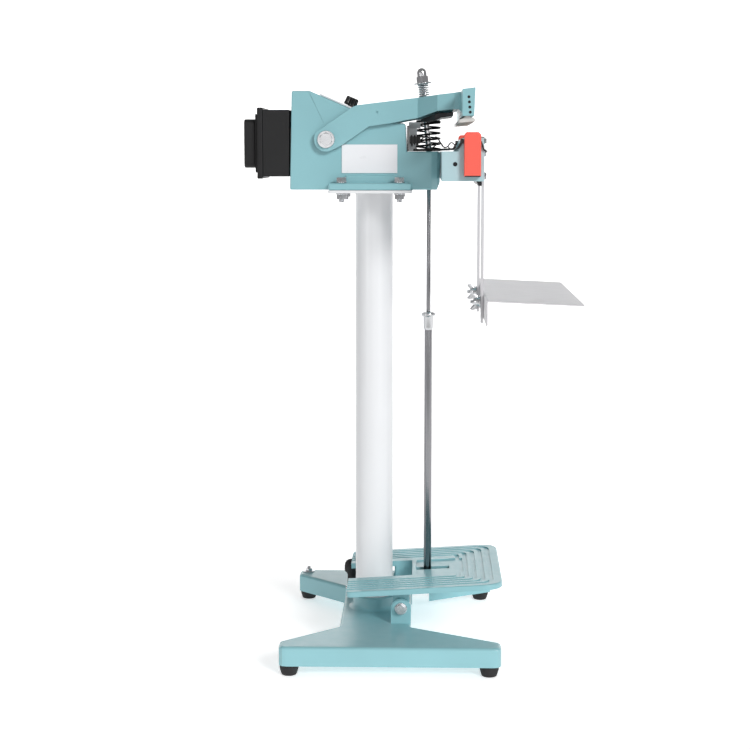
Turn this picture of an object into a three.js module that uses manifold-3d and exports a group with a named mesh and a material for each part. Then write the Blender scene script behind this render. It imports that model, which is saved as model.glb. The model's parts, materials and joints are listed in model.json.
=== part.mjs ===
// Pedal-operated impulse heat sealer, in millimetres, +Z up.
// +X is the operator's side (shelf and pedal), -Y the operator's left. The column stands on the Z axis of
// the machine group, and the group is moved so that the origin is under the middle of the whole object.
import * as THREE from 'three';
import { mergeVertices } from 'three/addons/utils/BufferGeometryUtils.js';
import Module from 'manifold-3d';

const wasm = await Module();
wasm.setup();

// ---- driving dimensions -------------------------------------------------------------------------------
const GAP = 0.3;                       // clearance between touching pieces
const SHELF_REACH = 284;               // front edge of the shelf
const REAR_REACH = 182;                // back of the rear cap
const FOOT_HEIGHT = 15;
const BASE = { rear: -124, front: 178, halfWidth: 221, barDepth: 31, top: 42, wall: 6,
  waistRear: -46, waistFront: 54, waistHalf: 112 };
const FEET = { rear: -110, front: 162, side: 206, radius: 13, boss: 11 };
const COLUMN = { radius: 27, wall: 2, bottom: 22, top: 648.2 };
const BOSS = { radius: 31, top: 61, fillet: 6 };
const PLATE = { rear: -61.5, front: 54.5, side: 86, bottom: 648.5, top: 652.5 };
const HEAD_BOLTS = { rear: -43.5, front: 37, side: 72 };
const M8 = { radius: 4, hole: 4.5, washer: 8, washerThick: 1.7, flats: 13, head: 6 };
const BODY = { bottom: 652.8, side: 56, wall: 4.5, front: 94, ledge: 706, notch: 47 };
const FLANGE_TOP = 662.4;
const ARM_PIVOT = { x: -65, z: 722.6, hole: 6.2, bolt: 5.8, washer: 12, washerThick: 2.5, flats: 16.5 };
const ARM = { inner: 58, outer: 66, top: 769.8, slope: 0.12, elbow: -20.9, tip: 138, jawRear: 121,
  jawHalf: 205, flareStart: 62, flareEnd: 89, flareSide: 93 };
const ARM_CLOSING = 4.8 * Math.PI / 180;
const JAW = { rear: 94.3, front: 150, bottom: 667, edge: 706, ridgeRear: 122, ridgeTop: 724, half: 202,
  web: 5, floor: 4, innerWeb: 50, hole: 3, holeX: 112, holeZ: 689.3 };
const STUD = { eyeX: 79.8, eyeZ: 686, topX: 67.4, topZ: 818, radius: 4 };
const studX = (z) => STUD.eyeX + (z - STUD.eyeZ) * (STUD.topX - STUD.eyeX) / (STUD.topZ - STUD.eyeZ);
const SPRING_SEAT_X = 77;
const ROD_X = 78;
const PEDAL_PIVOT = { x: 40.5, z: 64 };
const PEDAL = { rear: -36, front: 183.5, half: 127, riseDegrees: 3.5, topAtColumn: 96.4, skirt: 8, rim: 5,
  thick: 6, slotHalf: 46, slotFront: 56 };
const LUG = { half: 12, thick: 7.5, topFront: 96, topRear: 94.5 };
const STEPS = { count: 5, pitch: 11.5, first: 12, tread: 6, depth: 2 };
const ROD_SLOT = { rear: 61, front: 110, half: 8 };
const EAR = { inner: 92, plate: 98, outer: 99.5, half: 14, boss: 12.6 };
const STRIP = { x: 150.3, thick: 3.6, side: 88, width: 18, bottom: 469, top: 715 };
const SHELF = { x: 154.2, thick: 2, top: 510.5, flange: 34, half: 205, droop: 2.5 * Math.PI / 180 };
const SHELF_BOLT_Z = 499;

// ---- materials ----------------------------------------------------------------------------------------
const finish = (color, roughness, metalness = 0) => (
  new THREE.MeshStandardMaterial({ color, roughness, metalness }));
const TEAL = () => finish(0x8fc0c6, 0.45);
const PALE_TEAL = () => finish(0xaccbd2, 0.5);
const WHITE = () => finish(0xe9ebec, 0.4);
const BLACK = () => finish(0x1e1e1e, 0.6);
const RED = () => finish(0xf87060, 0.5);
const CHROME = () => finish(0xc8cacc, 0.2, 1);
const ZINC = () => finish(0xb8babc, 0.35, 1);
const RUBBER = () => finish(0x151515, 0.9);

// ---- solids -------------------------------------------------------------------------------------------
function solid(geometry) {
  geometry.deleteAttribute('normal');
  geometry.deleteAttribute('uv');
  const merged = mergeVertices(geometry, 1e-4);
  return new wasm.Manifold(new wasm.Mesh({
    numProp: 3,
    vertProperties: new Float32Array(merged.attributes.position.array),
    triVerts: new Uint32Array(merged.index.array),
  }));
}

function box(x0, x1, y0, y1, z0, z1) {
  const geometry = new THREE.BoxGeometry(x1 - x0, y1 - y0, z1 - z0);
  return solid(geometry.translate((x0 + x1) / 2, (y0 + y1) / 2, (z0 + z1) / 2));
}

// Round off each corner of an outline by its own radius (third value of a point, 0 when left out).
function outline(points, steps = 3) {
  const corners = points.map(([a, b, r = 0]) => ({ p: new THREE.Vector2(a, b), r }));
  const path = [];
  corners.forEach(({ p, r }, i) => {
    if (r === 0) {
      path.push(p);
      return;
    }
    const before = corners.at(i - 1).p.clone().sub(p).normalize();
    const after = corners[(i + 1) % corners.length].p.clone().sub(p).normalize();
    const half = Math.acos(THREE.MathUtils.clamp(before.dot(after), -1, 1)) / 2;
    const reach = r / Math.tan(half);
    const bend = new THREE.QuadraticBezierCurve(p.clone().addScaledVector(before, reach), p,
      p.clone().addScaledVector(after, reach));
    path.push(...bend.getPoints(steps));
  });
  return new THREE.Shape(path);
}

// A prism of an outline along one axis: 'z' takes (x, y), 'y' takes (x, z) and 'x' takes (y, z) points.
function prism(along, shape, from, to) {
  const profile = shape instanceof THREE.Shape ? shape : outline(shape);
  const geometry = new THREE.ExtrudeGeometry(profile,
    { depth: to - from, bevelEnabled: false, curveSegments: 6 });
  if (along === 'z') geometry.translate(0, 0, from);
  if (along === 'y') geometry.rotateX(Math.PI / 2).translate(0, to, 0);
  if (along === 'x') {
    const axes = new THREE.Matrix4().makeBasis(new THREE.Vector3(0, 1, 0), new THREE.Vector3(0, 0, 1),
      new THREE.Vector3(1, 0, 0));
    geometry.applyMatrix4(axes).translate(from, 0, 0);
  }
  return solid(geometry);
}

// A turned piece: profile points are (radius, height along the axis), starting and ending on the axis.
function turned(along, profile, centre, segments = 24) {
  const geometry = new THREE.LatheGeometry(profile.map(([r, h]) => new THREE.Vector2(r, h)), segments);
  if (along === 'z') geometry.rotateX(Math.PI / 2);
  if (along === 'x') geometry.rotateZ(-Math.PI / 2);
  return solid(geometry.translate(...centre));
}

// A pin, bolt shank or hole from one height to another along an axis.
function rod(along, radius, from, to, centre, segments = 24) {
  const [x, y, z] = centre;
  const at = { x: [0, y, z], y: [x, 0, z], z: [x, y, 0] }[along];
  return turned(along, [[0, from], [radius, from], [radius, to], [0, to]], at, segments);
}

// Turn a solid about Y by an angle and move it to a place.
function placed(whole, { x, z, angle }) {
  return whole.rotate([0, THREE.MathUtils.radToDeg(angle), 0]).translate([x, 0, z]);
}

function hexagon(along, acrossFlats, from, to, centre) {
  return rod(along, acrossFlats / Math.sqrt(3), from, to, centre, 6);
}

function joined(...solids) {
  return solids.reduce((whole, piece) => whole.add(piece));
}

function cut(whole, ...tools) {
  return tools.reduce((left, tool) => left.subtract(tool), whole);
}

// A round bar bent along a smooth curve through its points.
function bar(points, radius, steps, sides = 8) {
  const section = new THREE.Shape();
  section.absarc(0, 0, radius, 0, 2 * Math.PI);
  const path = new THREE.CatmullRomCurve3(points.map((p) => new THREE.Vector3(...p)));
  return solid(new THREE.ExtrudeGeometry(section, { steps, curveSegments: sides / 2, extrudePath: path }));
}

class Helix extends THREE.Curve {
  constructor(radius, turns, bottom, top) {
    super();
    Object.assign(this, { radius, turns, bottom, top });
  }

  // The end turns lie flat, as they do on a squared-off compression spring.
  getPoint(t, target = new THREE.Vector3()) {
    const turn = t * this.turns;
    const climb = THREE.MathUtils.clamp((turn - 0.75) / (this.turns - 1.5), 0, 1);
    const angle = 2 * Math.PI * turn;
    return target.set(this.radius * Math.cos(angle), this.radius * Math.sin(angle),
      THREE.MathUtils.lerp(this.bottom, this.top, climb) + 0.9 * (t - 0.5));
  }
}

function spring(meanRadius, wire, turns, bottom, top, stepsPerTurn) {
  const section = new THREE.Shape();
  section.absarc(0, 0, wire / 2, 0, 2 * Math.PI);
  const path = new Helix(meanRadius, turns, bottom + wire / 2 + 0.5, top - wire / 2 - 0.5);
  return solid(new THREE.ExtrudeGeometry(section, { steps: turns * stepsPerTurn, curveSegments: 3,
    extrudePath: path }));
}

// ---- the machine as a group of named meshes -----------------------------------------------------------
const machine = new THREE.Group();
machine.position.x = (REAR_REACH - SHELF_REACH) / 2;

function add(name, whole, material, tilt) {
  const { vertProperties, triVerts } = whole.getMesh();
  const geometry = new THREE.BufferGeometry();
  geometry.setAttribute('position', new THREE.BufferAttribute(new Float32Array(vertProperties), 3));
  geometry.setIndex(new THREE.BufferAttribute(new Uint32Array(triVerts), 1));
  geometry.computeVertexNormals();
  const mesh = new THREE.Mesh(geometry, material);
  mesh.name = name;
  if (tilt) {
    mesh.position.set(tilt.x, 0, tilt.z);
    mesh.rotation.y = tilt.angle;
  }
  machine.add(mesh);
}

const SIDES = [['left', -1], ['right', 1]];
const spanY = (side, a, b) => (side > 0 ? [a, b] : [-b, -a]);

// ---- base, feet and column ----------------------------------------------------------------------------
function baseOutline(inset) {
  const { rear, front, halfWidth, barDepth, waistRear, waistFront, waistHalf } = BASE;
  const edge = halfWidth - inset;
  const inner = halfWidth - barDepth + inset * 0.4;
  const half = [[rear + inset, -edge, 12], [front - inset, -edge, 12], [front - inset, -inner, 8],
    [waistFront - inset, -waistHalf + inset, 10]];
  const other = half.map(([x, y, r]) => [x, -y, r]).reverse();
  return [...half, ...other, [rear + inset, inner, 8], [waistRear + inset, waistHalf - inset, 10],
    [waistRear + inset, -waistHalf + inset, 10], [rear + inset, -inner, 8]]
    .filter((p, i, all) => all.findIndex((q) => q[0] === p[0] && q[1] === p[1]) === i);
}

function pedalEar([y0, y1]) {
  const { x, z } = PEDAL_PIVOT;
  const shape = new THREE.Shape();
  shape.moveTo(x - EAR.half, BASE.top - 2);
  shape.lineTo(x + EAR.half, BASE.top - 2);
  shape.lineTo(x + EAR.half, z);
  shape.absarc(x, z, EAR.half, 0, Math.PI);
  return prism('y', shape, y0, y1);
}

function baseCasting() {
  const { top, wall } = BASE;
  const foot = BOSS.radius + BOSS.fillet;
  let base = prism('z', outline(baseOutline(0)), FOOT_HEIGHT, top);
  base = cut(base, prism('z', outline(baseOutline(wall)), FOOT_HEIGHT - 1, top - wall - 1));
  base = joined(base, rod('z', foot, FOOT_HEIGHT, top, [0, 0, 0], 32),
    turned('z', [[0, top - 1], [foot, top - 1], [foot, top + 0.1], [BOSS.radius + 3.1, top + 0.9],
      [BOSS.radius + 0.9, top + 3.1], [BOSS.radius, top + BOSS.fillet], [BOSS.radius, BOSS.top - 2],
      [BOSS.radius - 2, BOSS.top], [0, BOSS.top]], [0, 0, 0], 32));
  for (const x of [FEET.rear, FEET.front]) {
    for (const y of [-FEET.side, FEET.side]) {
      base = joined(base, rod('z', FEET.boss, FOOT_HEIGHT, top - 1, [x, y, 0], 16));
    }
  }
  for (const [, side] of SIDES) {
    const at = [PEDAL_PIVOT.x, 0, PEDAL_PIVOT.z];
    base = joined(base, pedalEar(spanY(side, EAR.inner, EAR.plate)),
      rod('y', EAR.boss, ...spanY(side, EAR.plate - 1, EAR.outer), at, 28));
    base = cut(base, rod('y', 5.2, ...spanY(side, EAR.inner - 1, EAR.outer + 1), at));
  }
  return cut(base, rod('z', COLUMN.radius + GAP, COLUMN.bottom - GAP, BOSS.top + 1, [0, 0, 0], 32),
    rod('z', 3.3, 30, top + 1, [FEET.rear, FEET.side, 0], 16));
}

add('base_casting', baseCasting(), TEAL());

for (const [end, x] of [['rear', FEET.rear], ['front', FEET.front]]) {
  for (const [name, side] of SIDES) {
    const { radius } = FEET;
    const profile = [[0, 0], [radius - 3.5, 0], [radius - 2, 1.5], [radius, 9], [radius, FOOT_HEIGHT - GAP],
      [0, FOOT_HEIGHT - GAP]];
    add(`foot_${end}_${name}`, turned('z', profile, [x, side * FEET.side, 0], 20), RUBBER());
  }
}

add('base_stud', turned('z', [[0, 32], [3, 32], [3, BASE.top + GAP], [9, BASE.top + GAP], [9, BASE.top + 2],
  [5.6, BASE.top + 2], [5.6, BASE.top + 5.5], [3, BASE.top + 5.5], [3, BASE.top + 10], [0, BASE.top + 10]],
[FEET.rear, FEET.side, 0], 16), ZINC());

add('column', turned('z', [[COLUMN.radius - COLUMN.wall, COLUMN.bottom], [COLUMN.radius, COLUMN.bottom],
  [COLUMN.radius, COLUMN.top], [COLUMN.radius - COLUMN.wall, COLUMN.top],
  [COLUMN.radius - COLUMN.wall, COLUMN.bottom]], [0, 0, 0], 48), WHITE());

function topPlate() {
  let plate = prism('z', [[PLATE.rear, -PLATE.side, 4], [PLATE.front, -PLATE.side, 4],
    [PLATE.front, PLATE.side, 4], [PLATE.rear, PLATE.side, 4]], PLATE.bottom, PLATE.top);
  for (const x of [HEAD_BOLTS.rear, HEAD_BOLTS.front]) {
    for (const y of [-HEAD_BOLTS.side, HEAD_BOLTS.side]) {
      plate = cut(plate, rod('z', M8.hole, PLATE.bottom - 1, PLATE.top + 1, [x, y, 0], 16));
    }
  }
  return plate;
}

add('column_top_plate', topPlate(), WHITE());

// Bolt from above with washer, and its nut and thread end below the plate.
function headBolt(x, y) {
  const at = [x, y, 0];
  const head = FLANGE_TOP + GAP + M8.washerThick;
  const nut = PLATE.bottom - GAP - M8.washerThick;
  return joined(rod('z', M8.radius, nut - 10.5, FLANGE_TOP + 4, at, 16),
    rod('z', M8.washer, FLANGE_TOP + GAP, head, at, 20),
    hexagon('z', M8.flats, head - 0.1, head + M8.head, at),
    rod('z', M8.washer, nut, PLATE.bottom - GAP, at, 20),
    hexagon('z', M8.flats, nut - 6.5, nut + 0.1, at));
}

for (const [end, x] of [['rear', HEAD_BOLTS.rear], ['front', HEAD_BOLTS.front]]) {
  for (const [name, side] of SIDES) {
    add(`head_bolt_${end}_${name}`, headBolt(x, side * HEAD_BOLTS.side), ZINC());
  }
}

// ---- places on the sloped control panel ----------------------------------------------------------------
const BROW = { x: -28, z: 763.5 };
const CREST = { x: -88.4, z: 789.6 };
const SLOPE = Math.atan2(CREST.z - BROW.z, BROW.x - CREST.x);
const PANEL_X = -51;
const KNOB_ALONG = 16;
const LAMP = { along: 21.5, side: 22 };

// A place on the sloped panel: how far down the slope from its middle, and how high over the casting.
const onPanel = (along, lift) => ({
  x: PANEL_X + along * Math.cos(SLOPE) + lift * Math.sin(SLOPE),
  z: BROW.z - (PANEL_X - BROW.x) * Math.tan(SLOPE) - along * Math.sin(SLOPE) + lift * Math.cos(SLOPE),
  angle: SLOPE,
});

// ---- body casting -------------------------------------------------------------------------------------
const SHOULDER = 745;
const GLAND = { x: -96, z: 672 };
const BODY_PROFILE = [[-116.5, BODY.bottom], [BODY.front - 5, BODY.bottom],
  [BODY.front - 1, BODY.bottom + 10], [BODY.front, BODY.ledge - 3, 2], [BODY.front - 3, BODY.ledge],
  [BODY.notch, BODY.ledge], [BODY.notch - 2, SHOULDER, 4], [18, SHOULDER], [BROW.x, BROW.z],
  [CREST.x, CREST.z, 4], [-113.5, CREST.z, 3]];

function bodyCasting() {
  const { side, wall, bottom, ledge, notch, front } = BODY;
  const rear = -125;
  const hollow = [[rear, bottom + wall], [front - wall - 4, bottom + wall], [front - wall, bottom + 14],
    [front - wall, ledge - wall], [notch - wall, ledge - wall], [notch - wall - 1, SHOULDER - wall],
    [16, SHOULDER - wall], [BROW.x - 2, BROW.z - wall - 1], [CREST.x - 0.6, CREST.z - wall - 1],
    [rear, CREST.z - wall - 1]];
  // Plans of the two facets that take off a front corner, and of the matching fill inside.
  const facets = [[front + 1, side - 12], [front + 1, side + 1], [front - 15, side + 1], [front - 13, side],
    [front - 4.5, side - 2.8], [front + 0.2, side - 10]];
  const fill = [[front + 1, side - 14], [front + 1, side + 1], [front - 20, side + 1],
    [front - 20, side - wall], [front - 10, side - 6.5], [front - wall, side - 14]];
  const corner = (points, sign) => prism('z', points.map(([x, y]) => [x, sign * y]), bottom - 1, ledge + 1);
  let inner = prism('y', hollow, -side + wall, side - wall);
  for (const [, sign] of SIDES) inner = cut(inner, corner(fill, sign));
  let body = cut(prism('y', BODY_PROFILE, -side, side), inner);
  for (const [, sign] of SIDES) {
    body = cut(body, corner(facets, sign));
    const [y0, y1] = spanY(sign, side - 2, PLATE.side);
    body = joined(body, box(PLATE.rear, PLATE.front - 1.5, y0, y1, bottom, FLANGE_TOP),
      box(-38.6, 33.9, ...spanY(sign, side - 2, side + 3), FLANGE_TOP - 1, FLANGE_TOP + 11));
    for (const x of [HEAD_BOLTS.rear, HEAD_BOLTS.front]) {
      body = cut(body, rod('z', M8.hole, bottom - 1, FLANGE_TOP + 1, [x, sign * HEAD_BOLTS.side, 0], 16));
    }
  }
  const { x, z, hole } = ARM_PIVOT;
  return cut(body, rod('y', hole, -side - 1, side + 1, [x, 0, z]),
    rod('z', 11, ledge - wall - 1, ledge + 1, [ROD_X, 0, 0], 20),
    rod('z', 6, bottom - 1, bottom + wall + 3, [ROD_X, 0, 0], 16),
    placed(rod('z', 6, -8, 4, [0, 0, 0], 16), onPanel(KNOB_ALONG, 0)),
    placed(rod('z', 3.6, -8, 4, [0, LAMP.side, 0], 12), onPanel(LAMP.along, 0)),
    rod('y', 8.3, side - wall - 1, side + 1, [GLAND.x, 0, GLAND.z], 20));
}

add('body_casting', bodyCasting(), TEAL());

add('name_plate', box(-43.7, 33.9, -BODY.side - 1.2, -BODY.side - GAP, 676, 715.6), WHITE());

// ---- transformer and its covers at the back -----------------------------------------------------------
const COVER = { front: -116.9, rear: -162.5, half: 50, bottom: 671, top: 763.8, wall: 3 };

function transformerCover() {
  const { front, rear, half, bottom, top, wall } = COVER;
  const shell = joined(box(rear, front, -half, half, bottom, top),
    box(rear, rear + 8, -half - wall, half + wall, bottom - wall, top + wall));
  return cut(shell, box(rear + wall, front + 1, -half + wall, half - wall, bottom + wall, top - wall));
}

add('transformer_cover', transformerCover(), BLACK());
add('cover_flange', prism('x', [[-47, 676.6, 3], [47, 676.6, 3], [47, 758, 3], [-47, 758, 3]],
  COVER.rear - 3, COVER.rear - GAP), BLACK());
add('rear_cap', prism('x', [[-40, 683, 8], [40, 683, 8], [40, 751, 8], [-40, 751, 8]],
  -REAR_REACH, COVER.rear - 3 - GAP), BLACK());

// Laminated core: an outer frame and a centre leg that passes through the coil.
function transformerCore() {
  const frame = box(-152, -72, -22, 22, 683, 751);
  return cut(frame, box(-142, -118, -23, 23, 693, 741), box(-106, -82, -23, 23, 693, 741));
}

add('transformer_core', transformerCore(), finish(0x5c5f63, 0.5, 1));
add('transformer_coil', cut(box(-140, -84, -38, 38, 695, 739),
  box(-118 - GAP, -106 + GAP, -22.5, 22.5, 690, 745)), finish(0x9a5a2a, 0.5));

// ---- control panel, knob, lamp and timer --------------------------------------------------------------
add('control_panel', cut(box(-27, 27, -38, 38, GAP, 2.8), rod('z', 5, -1, 4, [KNOB_ALONG, 0, 0], 16),
  rod('z', 3.6, -1, 4, [LAMP.along, LAMP.side, 0], 12)), WHITE(), onPanel(0, 0));

const KNOB_FLUTES = 12;

function timerKnob() {
  const profile = [[0, 0.4], [8, 0.4], [8, 3], [9.8, 4.5], [9.8, 11], [8.8, 13], [0, 13]];
  let knob = turned('z', profile, [0, 0, 0], 32);
  for (let i = 0; i < KNOB_FLUTES; i += 1) {
    const angle = (i / KNOB_FLUTES) * 2 * Math.PI;
    knob = cut(knob, rod('z', 1.2, 4, 14, [10.2 * Math.cos(angle), 10.2 * Math.sin(angle), 0], 6));
  }
  return cut(knob, box(2, 9, -0.6, 0.6, 12.2, 14), rod('z', 3.3, -1, 8, [0, 0, 0], 16));
}

add('timer_knob', timerKnob(), BLACK(), onPanel(KNOB_ALONG, 3.4));
add('pilot_lamp', turned('z', [[0, -6], [3.2, -6], [3.2, 0], [4.6, 0], [4.6, 1.2], [3.6, 1.6], [3.2, 4],
  [1.8, 5.4], [0, 5.8]], [0, LAMP.side, 0], 16), finish(0xd83a3a, 0.3), onPanel(LAMP.along, 3.2));
add('timer_board', joined(box(-22, 18, -30, 30, -22, -20.4), rod('z', 8, -20.6, -12, [0, 0, 0], 20),
  rod('z', 3, -12.2, 11, [0, 0, 0], 16), box(-18, -8, -24, -12, -20.6, -12),
  box(-18, -6, 8, 26, -20.6, -10)), finish(0x2f6b3f, 0.6), onPanel(KNOB_ALONG, 0));

add('cable_gland', turned('y', [[0, 49], [6, 49], [6, 51], [7.9, 51], [7.9, 56.3], [11, 56.3], [11, 62],
  [8, 64], [8, 70], [0, 70]], [GLAND.x, 0, GLAND.z], 20), BLACK());

// ---- pressing arm with the upper jaw ------------------------------------------------------------------
const armTop = (x) => ARM.top + (x - ARM.elbow) * ARM.slope;

function armSide() {
  const { x, z } = ARM_PIVOT;
  const shape = new THREE.Shape();
  shape.moveTo(x - 14, z + 9.6);
  shape.absarc(x, z, 17, THREE.MathUtils.degToRad(145), THREE.MathUtils.degToRad(300), false);
  for (const [px, pz] of [[-43.3, 714.4], [-5.4, 740.5], [26.5, 745], [44.5, 748.7],
    [ARM.flareStart, 751.8], [ARM.flareEnd, 761], [118, 763.5], [ARM.jawRear, 760], [ARM.jawRear, 752],
    [ARM.tip - 1.5, 752], [ARM.tip, armTop(ARM.tip)], [ARM.elbow, ARM.top], [-28, ARM.top - 2.5]]) {
    shape.lineTo(px, pz);
  }
  return shape;
}

function armPlan() {
  const { outer, flareStart, flareEnd, flareSide, jawRear, jawHalf, tip } = ARM;
  const upper = [[-90, outer], [flareStart, outer], [flareEnd, flareSide], [jawRear - 9, flareSide],
    [jawRear - 3, flareSide + 4], [jawRear, flareSide + 14], [jawRear, jawHalf], [tip, jawHalf]];
  return new THREE.Shape([...upper.map(([x, y]) => [x, -y]), ...upper.reverse()]
    .map(([x, y]) => new THREE.Vector2(x, y)));
}

// Inner hollow of the arm, open below, in front of the fork and behind the jaw bar.
function armHollow() {
  const { flareStart, flareEnd, flareSide, outer, inner, jawRear } = ARM;
  const wall = outer - inner;
  const half = [[40, inner], [flareStart - 3, inner], [flareEnd - 3, flareSide - wall],
    [jawRear - 9, flareSide - wall]];
  const plan = new THREE.Shape([...half.map(([x, y]) => [x, -y]), ...half.slice().reverse()]
    .map(([x, y]) => new THREE.Vector2(x, y)));
  const front = jawRear - 4;
  const roof = [[30, 700], [front, 700], [front, armTop(front) - 6], [30, armTop(30) - 6]];
  return prism('z', plan, 700, 800).intersect(prism('y', roof, -120, 120));
}

const END_HOLES = { count: 4, x: 129.3, z: 776.5, drop: 6.6, lean: 0.6, radius: 2 };

function armCasting() {
  const { inner, jawHalf, jawRear, tip } = ARM;
  let arm = prism('z', armPlan(), 690, 800).intersect(prism('y', armSide(), -jawHalf, jawHalf));
  arm = cut(arm, box(-100, 40, -inner, inner, 680, 810), armHollow());
  arm = joined(arm, prism('z', [[58, -16, 8], [92, -16, 8], [92, 16, 8], [58, 16, 8]], 750.3, 776));
  arm = cut(arm, bar([[studX(736), 0, 736], [STUD.topX, 0, STUD.topZ]], STUD.radius + 0.6, 1, 12),
    rod('y', ARM_PIVOT.hole, -80, 80, [ARM_PIVOT.x, 0, ARM_PIVOT.z]));
  for (const y of [-jawHalf, jawHalf]) {
    for (let i = 0; i < END_HOLES.count; i += 1) {
      const { x, z, drop, lean, radius } = END_HOLES;
      arm = cut(arm, rod('y', radius, y - 4, y + 4, [x + i * lean, 0, z - i * drop], 12));
    }
  }
  const groove = [[jawRear + 2.9, 740], [tip - 5.9, 740], [tip - 5.9, 757], [jawRear + 2.9, 757]];
  return cut(arm, rod('y', 1.8, -80, 80, [6.1, 0, 760.1], 8),
    prism('y', groove, -jawHalf + 5, jawHalf - 5));
}

add('arm', armCasting(), TEAL());

// Black plate in the underside of the arm, round the spring seat.
function springPlate() {
  const { inner, flareStart, flareEnd, flareSide, outer } = ARM;
  const side = flareSide - (outer - inner) - 2 * GAP;
  const half = [[flareStart + 4, inner - 2 * GAP], [flareEnd - 3, side], [111, side]];
  const plan = prism('z', [...half.map(([x, y]) => [x, -y]), ...half.slice().reverse()], 740, 770);
  const section = [[66, 746.6], [84, 748.2], [95, 752.2], [115, 755], [115, 760], [90, 758.5], [66, 750]];
  return cut(plan.intersect(prism('y', section, -side, side)),
    box(50, 92 + GAP, -16 - GAP, 16 + GAP, 740, 770), rod('z', 19, 740, 770, [SPRING_SEAT_X, 0, 0], 28));
}

add('spring_plate', springPlate(), BLACK());

// Long bolt with washers under its head and nut.
function pivotBolt() {
  const at = [ARM_PIVOT.x, 0, ARM_PIVOT.z];
  const seat = ARM.outer + GAP;
  const head = seat + ARM_PIVOT.washerThick;
  let bolt = rod('y', ARM_PIVOT.bolt, -seat, head + 9.2, at, 20);
  for (const [, side] of SIDES) {
    bolt = joined(bolt, rod('y', ARM_PIVOT.washer, ...spanY(side, seat, head), at, 24),
      hexagon('y', ARM_PIVOT.flats, ...spanY(side, head - 0.2, head + (side > 0 ? 7.2 : 6.2)), at));
  }
  return bolt;
}

add('arm_pivot_bolt', pivotBolt(), ZINC());

// Silicone strip in its holder, level when the jaws are closed.
add('silicone_pad', prism('y', [[-10.5, 0], [10.5, 0], [10.5, 4], [4.2, 6], [4.2, 11.5], [-2.2, 11.5],
  [-2.2, 6], [-10.5, 4]], -198, 198), finish(0xcfcabc, 0.7), { x: 127.5, z: 744.1, angle: -ARM_CLOSING });

// ---- lower jaw, element and covers --------------------------------------------------------------------
function lowerJaw() {
  const { rear, front, bottom, edge, ridgeRear, ridgeTop, half, web, floor, innerWeb } = JAW;
  const { hole, holeX, holeZ } = JAW;
  const plate = [[rear, bottom], [front, bottom], [front, ridgeTop], [ridgeRear + 2, ridgeTop],
    [ridgeRear, 718], [115.5, edge], [rear, edge]];
  let jaw = joined(box(rear, front, -half, half, bottom, bottom + floor),
    box(front - floor, front, -half, half, bottom, ridgeTop),
    box(ridgeRear + 2, front, -half, half, ridgeTop - 7, ridgeTop));
  for (const y of [-half, -innerWeb, innerWeb - web, half - web]) {
    jaw = joined(jaw, prism('y', plate, y, y + web));
  }
  jaw = joined(jaw, box(rear, rear + floor, -innerWeb, innerWeb, bottom, edge));
  for (const y of [-STRIP.side, STRIP.side]) {
    jaw = cut(jaw, rod('x', 2.3, front - 6, front + 1, [0, y, 704], 12));
  }
  return cut(jaw, rod('y', hole, -half - 1, -half + web + 1, [holeX, 0, holeZ], 16),
    rod('y', hole, half - web - 1, half + 1, [holeX, 0, holeZ], 16));
}

add('lower_jaw', lowerJaw(), PALE_TEAL());

for (const [name, side] of SIDES) {
  const profile = [[123.5, 673], [145.5, 673], [145.5, 728, 0], [142.5, 731], [126.5, 731], [123.5, 728]];
  add(`end_block_${name}`, prism('y', profile, ...spanY(side, JAW.half + GAP, JAW.half + 13)), RED());
  const path = [[56, 43, 708.2], [84, 47, 708.2], [99, 62, 708.6], [108, 120, 709], [113, 180, 709.6],
    [116, 201, 711], [120.5, 207, 718]];
  const lead = bar(path.map(([x, y, z]) => [x, side * y, z]), 1.5, 28, 6);
  const sleeve = box(118.6, 123.2, ...spanY(side, 205, 209.5), 716, 722.5);
  add(`element_lead_${name}`, joined(lead, sleeve), finish(0x2a1d1d, 0.6));
}

add('heating_element', box(133.5, 138.5, -201, 201, JAW.ridgeTop + GAP, JAW.ridgeTop + 0.9),
  finish(0x9c9c98, 0.35, 1));
const CLOTH = { low: JAW.ridgeTop + 1.2, high: JAW.ridgeTop + 1.9, half: 195, hem: 716 };

add('ptfe_cover', prism('y', [[126, CLOTH.low - 0.4], [132, CLOTH.low], [140, CLOTH.low],
  [149.8, CLOTH.low - 0.4], [150.6, JAW.ridgeTop], [150.6, CLOTH.hem], [151.1, CLOTH.hem],
  [151.1, JAW.ridgeTop + 0.3], [150, JAW.ridgeTop + 1.4], [140, CLOTH.high], [132, CLOTH.high],
  [126, CLOTH.high - 0.4]], -CLOTH.half, CLOTH.half), finish(0x8a6f52, 0.6));
add('ptfe_clamp_bar', prism('y', [[151.5, CLOTH.hem + 0.5], [153.5, CLOTH.hem + 0.5], [153.5, 723],
  [151.5, 723]], -CLOTH.half, CLOTH.half), finish(0xb4b8ba, 0.4, 1));

// ---- springs, stud and domed nut ----------------------------------------------------------------------
function armStud() {
  const { eyeX, eyeZ, topX, topZ, radius } = STUD;
  const shank = bar([[studX(eyeZ + 6), 0, eyeZ + 6], [topX, 0, topZ]], radius, 1, 16);
  const eye = [eyeX, 0, eyeZ];
  return cut(joined(shank, rod('y', 8, -3, 3, eye, 20)), rod('y', 4.9, -4, 4, eye, 20));
}

add('arm_stud', armStud(), CHROME());

const PRESSURE_SPRING_X = 71.4;
const HEAD_TILT = -Math.atan(ARM.slope);
const onArm = (x, lift) => ({ x: x - lift * Math.sin(-HEAD_TILT), z: armTop(x) + lift * Math.cos(HEAD_TILT),
  angle: HEAD_TILT });

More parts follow.
